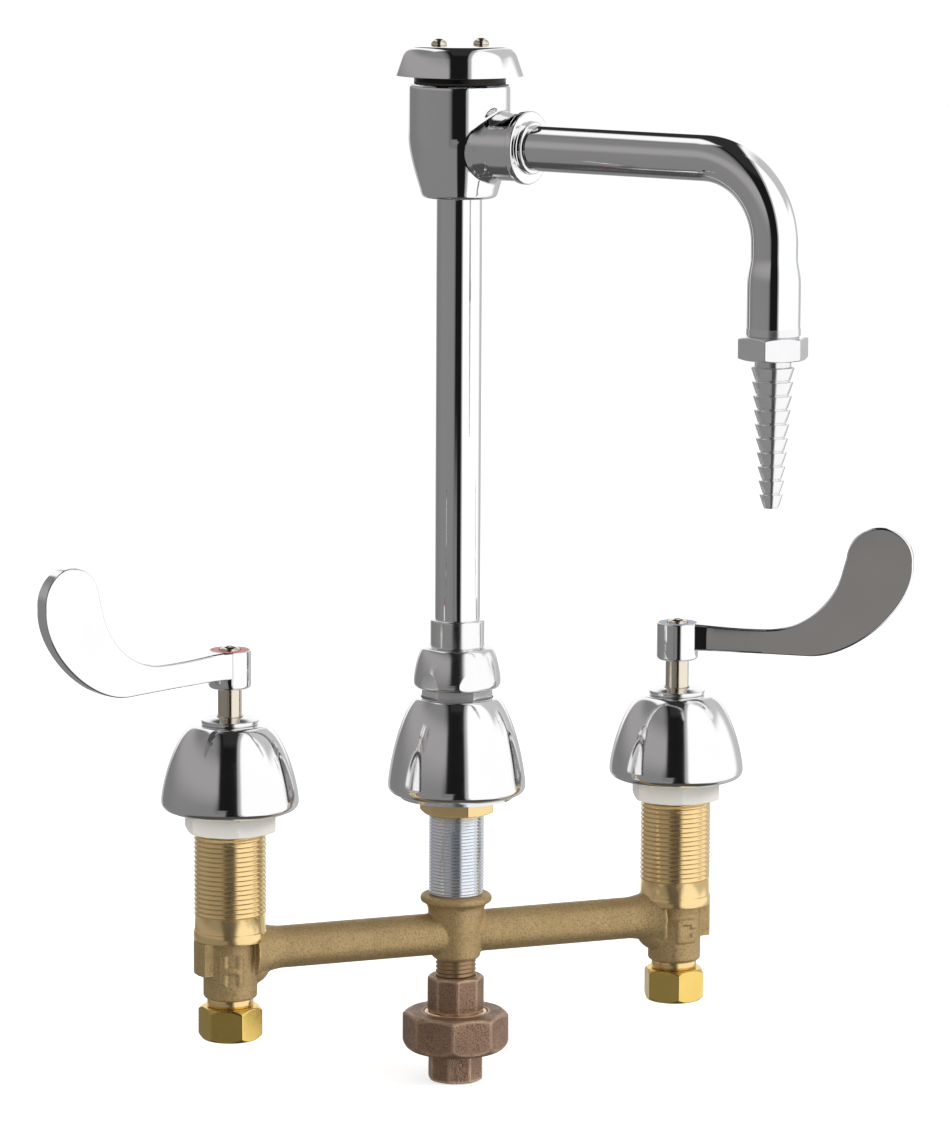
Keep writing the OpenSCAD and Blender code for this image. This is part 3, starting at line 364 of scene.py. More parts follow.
cast_brass = metal("cast brass", (0.56, 0.40, 0.19), 0.42, 0.58, scale=140, second=(0.41, 0.29, 0.135),
                   grain_depth=0.24, grain_scale=1500, lump=420, pit_colour=(0.33, 0.23, 0.11),
                   edge_colour=(0.74, 0.56, 0.29), edge_gain=5, metallic=0.6)
bronze = metal("cast bronze", (0.41, 0.265, 0.175), 0.38, 0.55, scale=150, second=(0.25, 0.15, 0.10),
               grain_depth=0.46, grain_scale=1500, lump=560, pit_colour=(0.19, 0.11, 0.075),
               edge_colour=(0.80, 0.58, 0.41), edge_gain=45, metallic=0.7)
bead_bronze = metal("machined bronze", (0.80, 0.56, 0.36), 0.2, 0.3, scale=150, metallic=0.8)
pipe_brass = metal("pipe brass", (0.46, 0.31, 0.17), 0.25, 0.4, scale=200, second=(0.30, 0.20, 0.11), metallic=0.8)
# Painted shade: a near-black brass that stands for the shade under the breaker cap's rim.
painted_shade_brass = metal("brass painted as shade", (0.035, 0.03, 0.025), 0.3, 0.4, scale=150)
zinc = metal("bright zinc", (0.83, 0.86, 0.91), 0.12, 0.18, scale=90, second=(0.72, 0.76, 0.82), metallic=0.85)
print("metal finishes:", len(bpy.data.materials))

# %% Plastic, rubber and ceramic finishes


def plastic(name, colour, second, roughness, scale=40.0, glow=0.0, grit=0.0):
    finish = bpy.data.materials.new(name)
    finish.use_nodes = True
    tree, links = finish.node_tree.nodes, finish.node_tree.links
    shader = tree["Principled BSDF"]
    shader.inputs["Roughness"].default_value = roughness
    shader.inputs["Subsurface Weight"].default_value = glow
    shader.inputs["Subsurface Radius"].default_value = (0.006, 0.005, 0.004)
    place = tree.new("ShaderNodeTexCoord")
    tint = tree.new("ShaderNodeTexNoise")
    tint.inputs["Scale"].default_value = scale
    tint.inputs["Detail"].default_value = 5
    colours = tree.new("ShaderNodeMix")
    colours.data_type = "RGBA"
    colours.inputs[6].default_value = (*colour, 1)
    colours.inputs[7].default_value = (*second, 1)
    bump = tree.new("ShaderNodeBump")
    bump.inputs["Distance"].default_value = grit * MM
    links.new(place.outputs["Object"], tint.inputs["Vector"])
    links.new(tint.outputs["Fac"], colours.inputs[0])
    links.new(colours.outputs[2], shader.inputs["Base Color"])
    links.new(tint.outputs["Fac"], bump.inputs["Height"])
    links.new(bump.outputs["Normal"], shader.inputs["Normal"])
    return finish


nylon = plastic("natural nylon", (0.93, 0.91, 0.85), (0.86, 0.83, 0.75), 0.38, glow=0.4, grit=0.05)
rubber = plastic("black rubber", (0.030, 0.030, 0.030), (0.045, 0.045, 0.044), 0.6, scale=300, grit=0.05)
ceramic = plastic("lapped ceramic", (0.86, 0.85, 0.81), (0.80, 0.79, 0.74), 0.16, scale=200)
red = plastic("red index", (0.55, 0.03, 0.03), (0.45, 0.03, 0.03), 0.3, scale=200, grit=0.02)
blue = plastic("blue index", (0.26, 0.29, 0.38), (0.22, 0.25, 0.33), 0.3, scale=200, grit=0.02)
print("all finishes:", len(bpy.data.materials))

# %% [markdown]
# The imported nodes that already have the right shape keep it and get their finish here, by
# the material slot that the record gives them. The cells after this one replace the nodes
# that need threads, fillets or finer curves.

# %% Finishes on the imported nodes
finish_of = {"cast_brass": cast_brass, "turned_brass": turned_brass, "bronze": bronze, "zinc": zinc, "chrome": chrome,
             "satin_chrome": satin, "nylon": nylon, "ceramic": ceramic, "rubber": rubber,
             "hot_index": red, "cold_index": blue}
slot_of = {p["node"]: p["material_slot"] for p in frame["record"]["subparts"]}
for name, node in nodes.items():
    node.data.materials.clear()
    node.data.materials.append(finish_of[slot_of[name]])
for side in ("hot", "cold"):
    nodes[side + "_stem"].data.materials[0] = nickel
    nodes[side + "_inlet_nut"].data.materials[0] = nut_brass
# Painted light: the swivel adapter takes the partly diffuse plate, so it shows bright where shade falls between the
# bell and the coupling nut.
nodes["swivel_adapter"].data.materials[0] = painted_light_plate
body_of = {name: body for body, names in frame["record"]["behaviour"]["bodies"].items() for name in names}


def dressed(shape, name, finish, *stands_for, bevel=0.0, angle=28):
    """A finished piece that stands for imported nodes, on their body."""
    obj = as_object(shape, name) if isinstance(shape, bmesh.types.BMesh) else shape
    obj.name = obj.data.name = name
    return finished(obj, body_of[stands_for[0]], finish, stands_for, bevel, angle)


print("finished nodes:", len(nodes))

# %% [markdown]
# The body under the deck is a sand casting: two barrels, the crossover tubes and a tee poured
# as one. Turned shapes are laid over each other, one voxel remesh melts them together, and a
# little smoothing leaves the soft inside corners that a mould gives. The bores are cut last,
# so that they stay crisp.

# %% Cast body: raw shapes
half = 101.6


def block(x0, x1, y0, y1, z0, z1):
    bm = bmesh.new()
    bmesh.ops.create_cube(bm, size=1)
    bmesh.ops.scale(bm, verts=bm.verts, vec=((x1 - x0) * MM, (y1 - y0) * MM, (z1 - z0) * MM))
    return moved(bm, (x0 + x1) / 2, (y0 + y1) / 2, (z0 + z1) / 2)


def along_x(bm, height):
    """Lays a shape that was turned about Z down along X, at a height."""
    bmesh.ops.rotate(bm, verts=bm.verts, cent=(0, 0, 0), matrix=Matrix.Rotation(math.pi / 2, 3, "Y"))
    return moved(bm, z=height)


def joined(name, *shapes):
    """Puts several closed shells into one object."""
    whole = bmesh.new()
    for shape in shapes:
        part = as_object(shape, "part")
        whole.from_mesh(part.data)
        bpy.data.objects.remove(part)
    return as_object(whole, name)


def melted(obj, voxel, rounds, factor=0.5):
    """Unites the shells of an object and rounds its corners."""
    skin = obj.modifiers.new("skin", "REMESH")
    skin.mode = "VOXEL"
    skin.voxel_size = voxel * MM
    soften = obj.modifiers.new("soften", "SMOOTH")
    soften.factor = factor
    soften.iterations = rounds
    return settled(obj)


def within(shape, limit_r, x):
    """Trims a raised mark to a radius round a barrel, so that it follows the barrel's curve."""
    limit = moved(spun([(0, -90), (limit_r, -90), (limit_r, -50), (0, -50)]), x=x)
    return combine(as_object(shape, "mark"), limit, "INTERSECT")


tee = spun([(0, -71.4), (9.2, -71.4), (10.4, -70.2)] + bezier((11.95, -50.2), (12.3, -47.2), (13.6, -47.3), (15.0, -46.4))
           + [(15.25, -45.4), (15.1, -44.4), (14.5, -43.6), (13.6, -43.5), (0, -43.5)])
tubes = [along_x(spun([(0, 0), (8.9, 0), (8.9, s * 92), (0, s * 92)]), -60.4) for s in (-1, 1)]
flares = [along_x(spun([(0, s * 78), (8.6, s * 78)] + bezier((8.85, s * 79), (9.2, s * 84), (10.4, s * 88), (12.6, s * 93))
                       + [(0, s * 93)]), -60.4) for s in (-1, 1)]
barrels = [moved(spun([(0, -80), (10.5, -80), (11.3, -79.2), (11.3, -55), (0, -55)]), x=s * half) for s in (-1, 1)]
bosses = [moved(spun([(9 * math.sin(a / 16 * math.pi), -9 * math.cos(a / 16 * math.pi)) for a in range(17)]),
                x=s * (half - 8.4), z=-66.4) for s in (-1, 1)]
print("tubes and barrels drawn:", len(tubes + barrels))

# %% Cast body: lugs, letters and pads
lugs = [within(block(*sorted((s * (half + 5), s * (half + 16))), -6.5, 6.5, -69.5, -55.3), 15.3, s * half) for s in (-1, 1)]
hot_mark = [within(block(x0, x1, -14, -7, z0, z1), 12.35, -half)
            for x0, x1, z0, z1 in ((-109.7, -107.3, -72.7, -60.4), (-102.5, -100.1, -72.7, -60.4), (-108, -102, -67.8, -65.4))]
cold_mark = [within(block(x0, x1, -14, -7, z0, z1), 12.35, half)
             for x0, x1, z0, z1 in ((97.7, 100.1, -70.9, -60.8), (99.5, 107, -63.1, -60.8), (99.5, 107, -70.9, -68.6),
                                    (104.7, 107, -64.9, -62), (104.7, 107, -70, -66.8))]
pads = [within(block(-110.6, -100.5, -14, -7, -79.6, -72.9), 11.85, -half),
        within(block(96.9, 106.4, -14, -7, -78.7, -71.9), 11.85, half)]
print("bars of the raised marks:", len(hot_mark + cold_mark), "pads:", len(pads))

# %% Cast body: melted and bored
raised = []
for mark in (*lugs, *hot_mark, *cold_mark, *pads):
    bm = bmesh.new()
    bm.from_mesh(mark.data)
    bpy.data.objects.remove(mark)
    raised.append(bm)
casting = melted(joined("valve_casting", tee, *tubes, *flares, *barrels, *bosses, *raised), 0.5, 3)


def bored(obj, *bores, solver="MANIFOLD"):
    for bore in bores:
        tool = as_object(bore, "bore")
        cut = obj.modifiers.new("bore", "BOOLEAN")
        cut.operation, cut.solver, cut.object = "DIFFERENCE", solver, tool
        settled(obj)
        bpy.data.objects.remove(tool)
    return obj


waterways = [spun([(0, -52.5), (9.7, -52.5), (9.7, -43), (0, -43)]), spun([(0, -72), (8.65, -72), (8.65, -66.2), (6.25, -66.2),
             (6.25, -52), (0, -52)]), along_x(spun([(0, -half), (5.5, -half), (5.5, half), (0, half)]), -60.4)]
waterways += [moved(spun([(0, -81), (4.86, -81), (4.86, -71), (7.8, -71), (7.8, -54), (0, -54)]), x=s * half) for s in (-1, 1)]
bored(casting, *waterways)
dressed(casting, "valve_casting", cast_brass, "valve_body")
print("casting triangles about", 2 * len(casting.data.polygons))

# %% [markdown]
# The shanks, the centre nipple and the pipe nipple are real threads. One pitch of the thread's
# profile climbs as it spins, and flat cuts end it. The same helper makes every thread, so
# only radius, depth and pitch change.

# %% Threads


def threaded(bore_r, crest_r, depth, pitch, z0, z1, steps=72):
    """A threaded sleeve between two heights."""
    bm = bmesh.new()
    shape = [(crest_r - depth, 0), (crest_r - depth, 0.12), (crest_r, 0.44), (crest_r, 0.66), (crest_r - depth, 1)]
    turns = math.ceil((z1 - z0) / pitch) + 4
    ring = [bm.verts.new((r * MM, 0, (z0 + (t - 2) * pitch) * MM)) for r, t in shape]
    edges = [bm.edges.new(pair) for pair in zip(ring, ring[1:])]
    bmesh.ops.spin(bm, geom=ring + edges, cent=(0, 0, 0), axis=(0, 0, 1), dvec=(0, 0, pitch / steps * MM),
                   angle=math.tau, steps=steps, use_merge=False, use_duplicate=False)
    one_turn = bm.verts[:] + bm.edges[:] + bm.faces[:]
    for i in range(1, turns):
        copy = bmesh.ops.duplicate(bm, geom=one_turn)["geom"]
        climbed = [g for g in copy if isinstance(g, bmesh.types.BMVert)]
        bmesh.ops.translate(bm, verts=climbed, vec=(0, 0, i * pitch * MM))
    bmesh.ops.remove_doubles(bm, verts=bm.verts, dist=5e-6)
    circles = []
    for z, low in ((z0, True), (z1, False)):
        bmesh.ops.bisect_plane(bm, geom=bm.verts[:] + bm.edges[:] + bm.faces[:], dist=1e-7, plane_co=(0, 0, z * MM),
                               plane_no=(0, 0, 1), clear_inner=low, clear_outer=not low)
    for z in (z0, z1):
        rim = [e for e in bm.edges if e.is_boundary and all(abs(v.co.z - z * MM) < 2e-6 for v in e.verts)]
        hole = bmesh.ops.create_circle(bm, segments=steps, radius=bore_r * MM, matrix=Matrix.Translation((0, 0, z * MM)))
        circle = list({e for v in hole["verts"] for e in v.link_edges})
        bmesh.ops.bridge_loops(bm, edges=rim + circle)
        circles += circle
    bmesh.ops.bridge_loops(bm, edges=circles)
    bmesh.ops.recalc_face_normals(bm, faces=bm.faces)
    print("  thread of", round((z1 - z0) / pitch), "turns, open edges:", sum(e.is_boundary for e in bm.edges))
    return bm


for side, s in (("hot", -1), ("cold", 1)):
    flange = spun([(7.85, -55.3), (15.0, -55.3), (15.3, -55.0), (15.3, -51.35), (14.95, -51), (14.85, -50.9), (14.85, -44),
                   (10.02, -44), (10.02, -51), (7.85, -51)])
    thread = threaded(10.02, 15.0, 0.95, 2.0, -44, 18)
    shank = joined(side + "_shank", moved(flange, x=s * half), moved(thread, x=s * half))
    dressed(shank, side + "_shank", turned_brass, "valve_body")
    neck = spun([(4.88, -79.6), (9.2, -79.6), (9.5, -80.1), (9.7, -80.4), (9.7, -83.3), (9.4, -83.6), (8.65, -83.6), (8.65, -91.6),
                 (6.66, -91.6), (4.88, -89.8)])
    dressed(moved(neck, x=s * half), side + "_inlet_neck", turned_brass, "valve_body")

nipple_end = spun([(7.5, -52.5), (9.6, -52.5), (9.6, -43.5), (11.2, -43.5), (11.2, -42.2), (7.5, -42.2)])
centre_nipple = joined("centre_nipple_thread", nipple_end, threaded(7.5, 11.7, 0.75, 1.41, -42.2, 30))
dressed(centre_nipple, "centre_nipple_thread", zinc, "centre_nipple")
dressed(threaded(6.25, 8.55, 0.65, 1.8, -84.2, -66.2), "close_nipple_thread", pipe_brass, "close_nipple")
print("threaded pieces ready")

# %% [markdown]
# The bells and the cap are spun or pressed from sheet and plated. A turned outline with many
# points on its curve keeps the reflections flowing, which a coarse one would break into
# bands. Both sides of the sheet are in the outline, so each shell has its real thickness.

# %% Bells


def arc(cx, cz, r, a0, a1, count=8):
    """Points on part of a circle, angles in degrees."""
    angles = [math.radians(a0 + (a1 - a0) * i / (count - 1)) for i in range(count)]
    return [(cx + r * math.cos(a), cz + r * math.sin(a)) for a in angles]


def bell(hole_r, flat_r, belly_r, height, shoulder, belly):
    return spun([(hole_r, height), (flat_r - 1.2, height), (flat_r - 0.5, height - 0.08)]
                + bezier((flat_r, height - 0.3), shoulder, belly, (belly_r, 4.6), 36)
                + arc(belly_r - 3.4, 3.6, 3.4, 10, -78, 10) + [(belly_r - 3.2, 0), (belly_r - 5.2, 0)]
                + bezier((belly_r - 3.2, 6), (belly[0] - 2, belly[1]), (shoulder[0] - 2, shoulder[1] - 2),
                         (flat_r - 2, height - 2.6), 24) + [(hole_r, height - 2)], steps=160)


for side, s in (("hot", -1), ("cold", 1)):
    shell = bell(9.6, 15.5, 28.7, 36.3, (22.5, 31.5), (27.9, 14))
    dressed(moved(shell, x=s * half), side + "_bell_shell", spun_chrome, side + "_bell", bevel=0.2)
    nut = spun([(5.35, 36.3), (8.0, 36.3), (8.0, 29.9), (9.4, 29.9), (9.4, 36.3), (11.4, 36.3)] + arc(11.45, 36.8, 0.5, -80, 0, 4)
               + arc(11.55, 37.85, 0.4, 0, 75, 5) + bezier((11.3, 38.3), (9.6, 38.7), (8, 39.2), (6.6, 39.4), 8)
               + [(6.2, 39.4), (5.9, 39.1), (5.35, 39.1)])
    dressed(moved(nut, x=s * half), side + "_cap_ring", soft_chrome, side + "_cap_nut", bevel=0.12)
dressed(bell(15.25, 17.45, 29.15, 41.6, (24.25, 33.6), (28.35, 14)), "centre_bell_shell", spun_chrome, "centre_bell", bevel=0.2)
print("bells spun")

# %% [markdown]
# Over the vacuum breaker sits a pressed cap on two round-headed screws. Shade falls under its
# rim, so the vented plug below is coloured near black: painted shade. Dark air shows under
# its rim, so the vented plug below gets a finish that reflects little.

# %% Cap and its screws
cap = spun([(0, 316), (19.4, 316)] + bezier((20.4, 315.9), (22.6, 315.6), (24.0, 313.4), (24.8, 310.6), 14)
           + [(27.1, 303.8), (27.1, 303.5), (25.6, 303.5)]
           + bezier((23.4, 310.4), (22.6, 313.0), (21.4, 314.2), (19.2, 314.4), 10) + [(0, 314.4)], steps=160, closed=False)
cap = bored(as_object(cap, "cap"), *[moved(spun([(0, 313), (1.6, 313), (1.6, 317), (0, 317)], steps=32), x=x) for x in (-9.4, 9.4)],
            solver="EXACT")
dressed(cap, "breaker_cap", chrome, "vacuum_breaker_cap", bevel=0.18)
heads = [moved(spun([(0, 304.5), (1.5, 304.5), (1.5, 316), (3.2, 316)] + bezier((3.4, 316.2), (3.4, 317.6), (2.0, 318.8), (0, 318.8), 12),
                    steps=48, closed=False), x=x) for x in (-9.4, 9.4)]
dressed(joined("cap_screw_heads", *heads), "cap_screw_heads", nickel, "cap_screws", bevel=0.08)
# Painted shade: the vented plug is coloured near black for the shade under the cap's rim.
nodes["vacuum_breaker_bonnet"].data.materials[0] = painted_shade_brass
print("cap and screws ready")

# %% [markdown]
# The vacuum breaker's body is a casting that was polished before plating, so its side arm
# flows out of it. The turned body and the turned arm are melted together and smoothed, which
# gives the saddle between them. The hollow for the float is cut afterwards.

# %% Vacuum breaker body
spout_turn = -55.5


def toward_spout(bm):
    bmesh.ops.rotate(bm, verts=bm.verts, cent=(0, 0, 0), matrix=Matrix.Rotation(math.radians(spout_turn), 3, "Z"))
    return bm


barrel = spun([(0, 252.5), (13.6, 252.5)] + arc(13.8, 254.7, 2.2, -85, -10, 6)
              + bezier((16.4, 255.9), (18.8, 263.5), (21.5, 271.9), (21.5, 279.9), 20) + [(21.5, 292)]
              + arc(19.9, 298.6, 1.6, 0, 90, 8) + [(0, 300.2)], steps=160, closed=False)
arm = toward_spout(along_x(spun([(0, 0), (16.0, 0), (16.0, 15.5)] + bezier((15.9, 16), (15.0, 18.5), (14.2, 20), (14.2, 22), 8)
                                + [(14.2, 32), (0, 32)], closed=False), 274.9))
breaker = melted(joined("breaker_body", barrel, arm), 0.4, 7, 0.5)
chamber = spun([(9.6, 265.9), (16.4, 265.9), (16.4, 287.9), (17.5, 287.9), (17.5, 301), (0, 301), (0, 277.1), (9.6, 277.1)])
well = spun([(0, 252), (9.62, 252), (9.62, 261.5), (6.6, 261.5), (6.6, 278), (0, 278)])
passage = toward_spout(along_x(spun([(0, 12.1), (8.33, 12.1), (8.33, 22), (9.62, 22), (9.62, 33), (0, 33)]), 274.9))
bored(breaker, chamber, well, passage)
dressed(breaker, "breaker_body", chrome, "vacuum_breaker_body")
ring = toward_spout(along_x(spun([(9.55, 32), (14.8, 32)] + arc(14.7, 32.6, 0.6, -80, 0, 4) + arc(14.5, 34.4, 0.8, 0, 90, 6)
                                 + [(11.1, 35.2), (10.9, 35.4), (10.9, 36.7)] + arc(10.2, 36.7, 0.7, 0, 85, 5) + [(9.55, 37.4)]), 274.9))
dressed(ring, "arm_ring", chrome, "arm_collar", bevel=0.1)
print("breaker body melted, faces:", len(breaker.data.polygons))

# %% [markdown]
# The coupling nut is a turned dome on which six wrench flats were milled, so the flats end in
# arcs. Cutting a finely turned dome with a prism gives those arcs for free, and a short melt
# rounds the edges as polishing did.

# %% Coupling nut, riser and its collar
dome = spun([(0, 45.6), (15.6, 45.6)] + arc(16.05, 48.0, 2.4, -85, 10, 10)
            + bezier((18.42, 49.2), (17.9, 53.6), (16.75, 59.1), (15.27, 61.9), 16)
            + arc(13.6, 61.2, 1.8, 25, 80, 6) + [(12.8, 63.3), (12.6, 63.5), (0, 63.5)], steps=160, closed=False)
coupling = combine(as_object(dome, "coupling"), prism(6, 17.8 / math.cos(math.pi / 6), 56.8, 44, 65), "INTERSECT")
coupling = melted(coupling, 0.3, 3)
bored(coupling, spun([(0, 45), (12.8, 45), (12.8, 56.4), (11.47, 56.4), (11.47, 64), (0, 64)]))
dressed(coupling, "coupling_dome", soft_chrome, "coupling_nut")
sleeve = spun([(9.545, 52.9), (12.7, 52.9), (12.7, 55.3), (11.4, 55.3), (11.4, 73.9)] + arc(10.5, 73.9, 0.9, 0, 85, 6) + [(9.545, 74.8)])
dressed(sleeve, "riser_sleeve", soft_chrome, "riser_collar", bevel=0.1)
dressed(spun([(8.325, 43.6), (9.525, 43.6), (9.525, 261.5), (8.325, 261.5)], steps=160), "riser_tube", chrome, "riser_pipe", bevel=0.1)
print("riser ready")

# %% [markdown]
# The spout is one length of tube: straight, bent a quarter turn, then opened a little at its
# end to take the fitting. A ring of points is carried along that path by two extrusions and
# one spin, so the bend is a true arc.

# %% Spout tube


def bent_tube(outer):
    """One skin of the spout: run, bend, drop and the wider end, as an open surface."""
    bm = bmesh.new()
    first = bmesh.ops.create_circle(bm, segments=96, radius=outer * MM, matrix=Matrix.Translation((22 * MM, 0, 274.9 * MM))
                                    @ Matrix.Rotation(math.pi / 2, 4, "Y"))
    edges = list({e for v in first["verts"] for e in v.link_edges})
    out = bmesh.ops.extrude_edge_only(bm, edges=edges)["geom"]
    run = [g for g in out if isinstance(g, bmesh.types.BMVert)]
    bmesh.ops.translate(bm, verts=run, vec=((119.4 - 22) * MM, 0, 0))
    ring = run + [g for g in out if isinstance(g, bmesh.types.BMEdge)]
    last = bmesh.ops.spin(bm, geom=ring, cent=(119.4 * MM, 0, 241.9 * MM), axis=(0, 1, 0), dvec=(0, 0, 0),
                          angle=math.pi / 2, steps=40, use_merge=False, use_duplicate=False)["geom_last"]
    for z, grow in ((237, 0), (235, 0.1), (232.5, 0.5), (230, 0.9), (227.5, 1.1), (225, 1.15), (208, 1.15)):
        edges = [g for g in last if isinstance(g, bmesh.types.BMEdge)]
        last = bmesh.ops.extrude_edge_only(bm, edges=edges)["geom"]
        low = [g for g in last if isinstance(g, bmesh.types.BMVert)]
        centre = Vector((152.4 * MM, 0, 0))
        for v in low:
            flat = Vector((v.co.x, v.co.y, 0)) - centre
            v.co = centre + flat.normalized() * (outer + grow * 1.152) * MM
            v.co.z = z * MM
    return bm


outside, inside = bent_tube(9.525), bent_tube(8.325)
tube = bmesh.new()
for skin in (outside, inside):
    part = as_object(skin, "skin")
    tube.from_mesh(part.data)
    bpy.data.objects.remove(part)
bmesh.ops.remove_doubles(tube, verts=tube.verts, dist=1e-7)
rims = [e for e in tube.edges if e.is_boundary]
for end in ([e for e in rims if e.verts[0].co.x < 0.03], [e for e in rims if e.verts[0].co.z < 0.22]):
    bmesh.ops.bridge_loops(tube, edges=end)
bmesh.ops.recalc_face_normals(tube, faces=tube.faces)
dressed(toward_spout(tube), "bent_spout", chrome, "spout_tube", bevel=0.1, angle=50)
print("spout tube bent")

# %% [markdown]
# Brass and bronze nuts leave the forge with soft corners, and years of wrenches round them
# further. Each blank is a prism with its corners turned off, melted a little, and then bored.

# %% Nuts and octagons


def blank(corner_r, sides, turn, z0, z1, bevel, low_bevel=None):
    """A nut blank whose corners are turned off at both ends."""
    flat = corner_r * math.cos(math.pi / sides)
    low = bevel if low_bevel is None else low_bevel
    limit = spun([(0, z0), (flat - 0.2, z0), (corner_r + 0.1, z0 + low), (corner_r + 0.1, z1 - bevel), (flat - 0.2, z1), (0, z1)],
                 closed=False)
    return combine(as_object(prism(sides, corner_r, turn, z0, z1), "blank"), limit, "INTERSECT")


for side, s, turn, nut_turn in (("hot", -1, 21.1, 32.6), ("cold", 1, 14.5, 15.7)):
    lock = bored(melted(blank(20.2, 6, turn, -9.3, 0, 1.0), 0.45, 4), spun([(0, -10), (15.1, -10), (15.1, 1), (0, 1)]))
    lock.data.transform(Matrix.Translation((s * half * MM, 0, 0)))
    dressed(lock, side + "_nylon_nut", nylon, side + "_locknut")
    nut = bored(melted(blank(13.625, 6, nut_turn, -97.6, -83.6, 1.8), 0.3, 5),
                spun([(0, -98), (4.8625, -98), (4.8625, -95.6), (8.75, -95.6), (8.75, -83), (0, -83)]))
    nut.data.transform(Matrix.Translation((s * half * MM, 0, 0)))
    dressed(nut, side + "_compression_nut", nut_brass, side + "_inlet_nut")
lock = bored(melted(blank(15.99, 6, 26.5, -8.5, -1.6, 0.8), 0.3, 4), spun([(0, -9), (11.8, -9), (11.8, -1), (0, -1)]))
dressed(lock, "centre_brass_nut", turned_brass, "centre_locknut")

upper = melted(blank(12.1, 8, 27.6, -94.6, -79, 0.7), 0.3, 4)
bead = spun([(8.0, -94.4), (12.4, -94.4)] + arc(12.3, -95.6, 1.3, 85, -85, 10) + [(8.0, -96.9)])
flange = spun([(6.25, -96.9), (13.5, -96.9), (13.5, -97.5), (15.2, -97.5), (15.2, -100.1), (6.25, -100.1)])
bored(upper, spun([(0, -84.2), (8.65, -84.2), (8.65, -78), (0, -78)]), spun([(0, -96), (6.25, -96), (6.25, -84), (0, -84)]))
dressed(upper, "union_upper", bronze, "union_tailpiece")
dressed(bead, "union_bead", bead_bronze, "union_tailpiece", bevel=0.1)
dressed(flange, "union_flange", bead_bronze, "union_tailpiece", bevel=0.1)

flat = 22.7 * math.cos(math.pi / 8)
round_off = spun([(0, -111.5), (flat - 3, -111.5)] + bezier((flat - 1.6, -111), (flat + 0.6, -109.9), (22.7, -108.1), (22.85, -105.9), 12)
                 + [(22.85, -95.9), (flat - 0.3, -94.5), (0, -94.5)], closed=False)
big = combine(as_object(prism(8, 22.7, 20.6, -111.5, -94.5), "big"), round_off, "INTERSECT")
big = bored(melted(big, 0.42, 6), spun([(0, -112), (16.1, -112), (16.1, -97.5), (13.8, -97.5), (13.8, -94), (0, -94)]))
dressed(big, "union_big_nut", bronze, "union_nut")
lower = melted(joined("lower", *[spun([(0, -111.1), (15.9, -111.1), (15.9, -100.2), (0, -100.2)])]), 0.4, 2)
end = bored(melted(blank(11.9, 8, 10.1, -124.2, -110.9, 0.7), 0.3, 4), spun([(0, -125), (7.5, -125), (7.5, -112.2), (6.25, -112.2),
            (6.25, -110), (0, -110)]))
bored(lower, spun([(0, -112), (6.25, -112), (6.25, -100), (0, -100)]))
dressed(end, "union_lower", bronze, "union_end")
dressed(lower, "union_thread", bead_bronze, "union_end")
print("nuts ready")

# %% [markdown]
# The serrated nozzle is the piece that a hose is pushed over. Its barbs are turned, each with
# a sharp shoulder above and a long slope below. The hexagon is a separate blank laid over it.

# %% Hose nozzle
barbs = [(7.45, 195.3), (7.45, 192.5)]
for i in range(10):
    top, r = 192.2 - 5.75 * i, 8.9 - 4.1 / 9 * i
    barbs += [(r - 0.15, top + 0.02), (r, top - 0.12), (r - 0.02, top - 0.35), (r - 1.6, top - 5.1), (r - 1.9, top - 5.2), (r - 1.9, top - 5.6)]
barbs = [(2.2, 195.3)] + barbs + [(3.0, 134.8), (2.9, 134.7), (2.2, 134.7)]
stem = toward_spout(moved(spun(barbs, steps=96), x=152.4))
dressed(stem, "nozzle_barbs", satin, "hose_nozzle", bevel=0.06, angle=35)
head = bored(melted(blank(14.895, 6, 51.8 + 55.5, 195.2, 204.6, 0.8), 0.25, 5), spun([(0, 194), (2.2, 194), (2.2, 206), (0, 206)]))
spigot = joined("nozzle_spigot", spun([(2.2, 204.4), (8.55, 204.4), (8.55, 218.1), (2.2, 218.1)]))
for piece, name in ((head, "nozzle_hex"), (spigot, "nozzle_spigot")):
    piece.data.transform(Matrix.Rotation(math.radians(spout_turn), 4, "Z") @ Matrix.Translation((152.4 * MM, 0, 0)))
    dressed(piece, name, satin, "hose_nozzle")
print("barbs turned:", 10)

# %% [markdown]
# A wrist blade is forged and polished: a flat bar, wide at the hub and even along the blade,
# with the edges rounded by the wheel. Its outline is one face, pushed out to its thickness,
# tapered in plan, and bevelled all round. The hub is turned and joined to it.

# %% Wrist blades
hub_low = 51.5


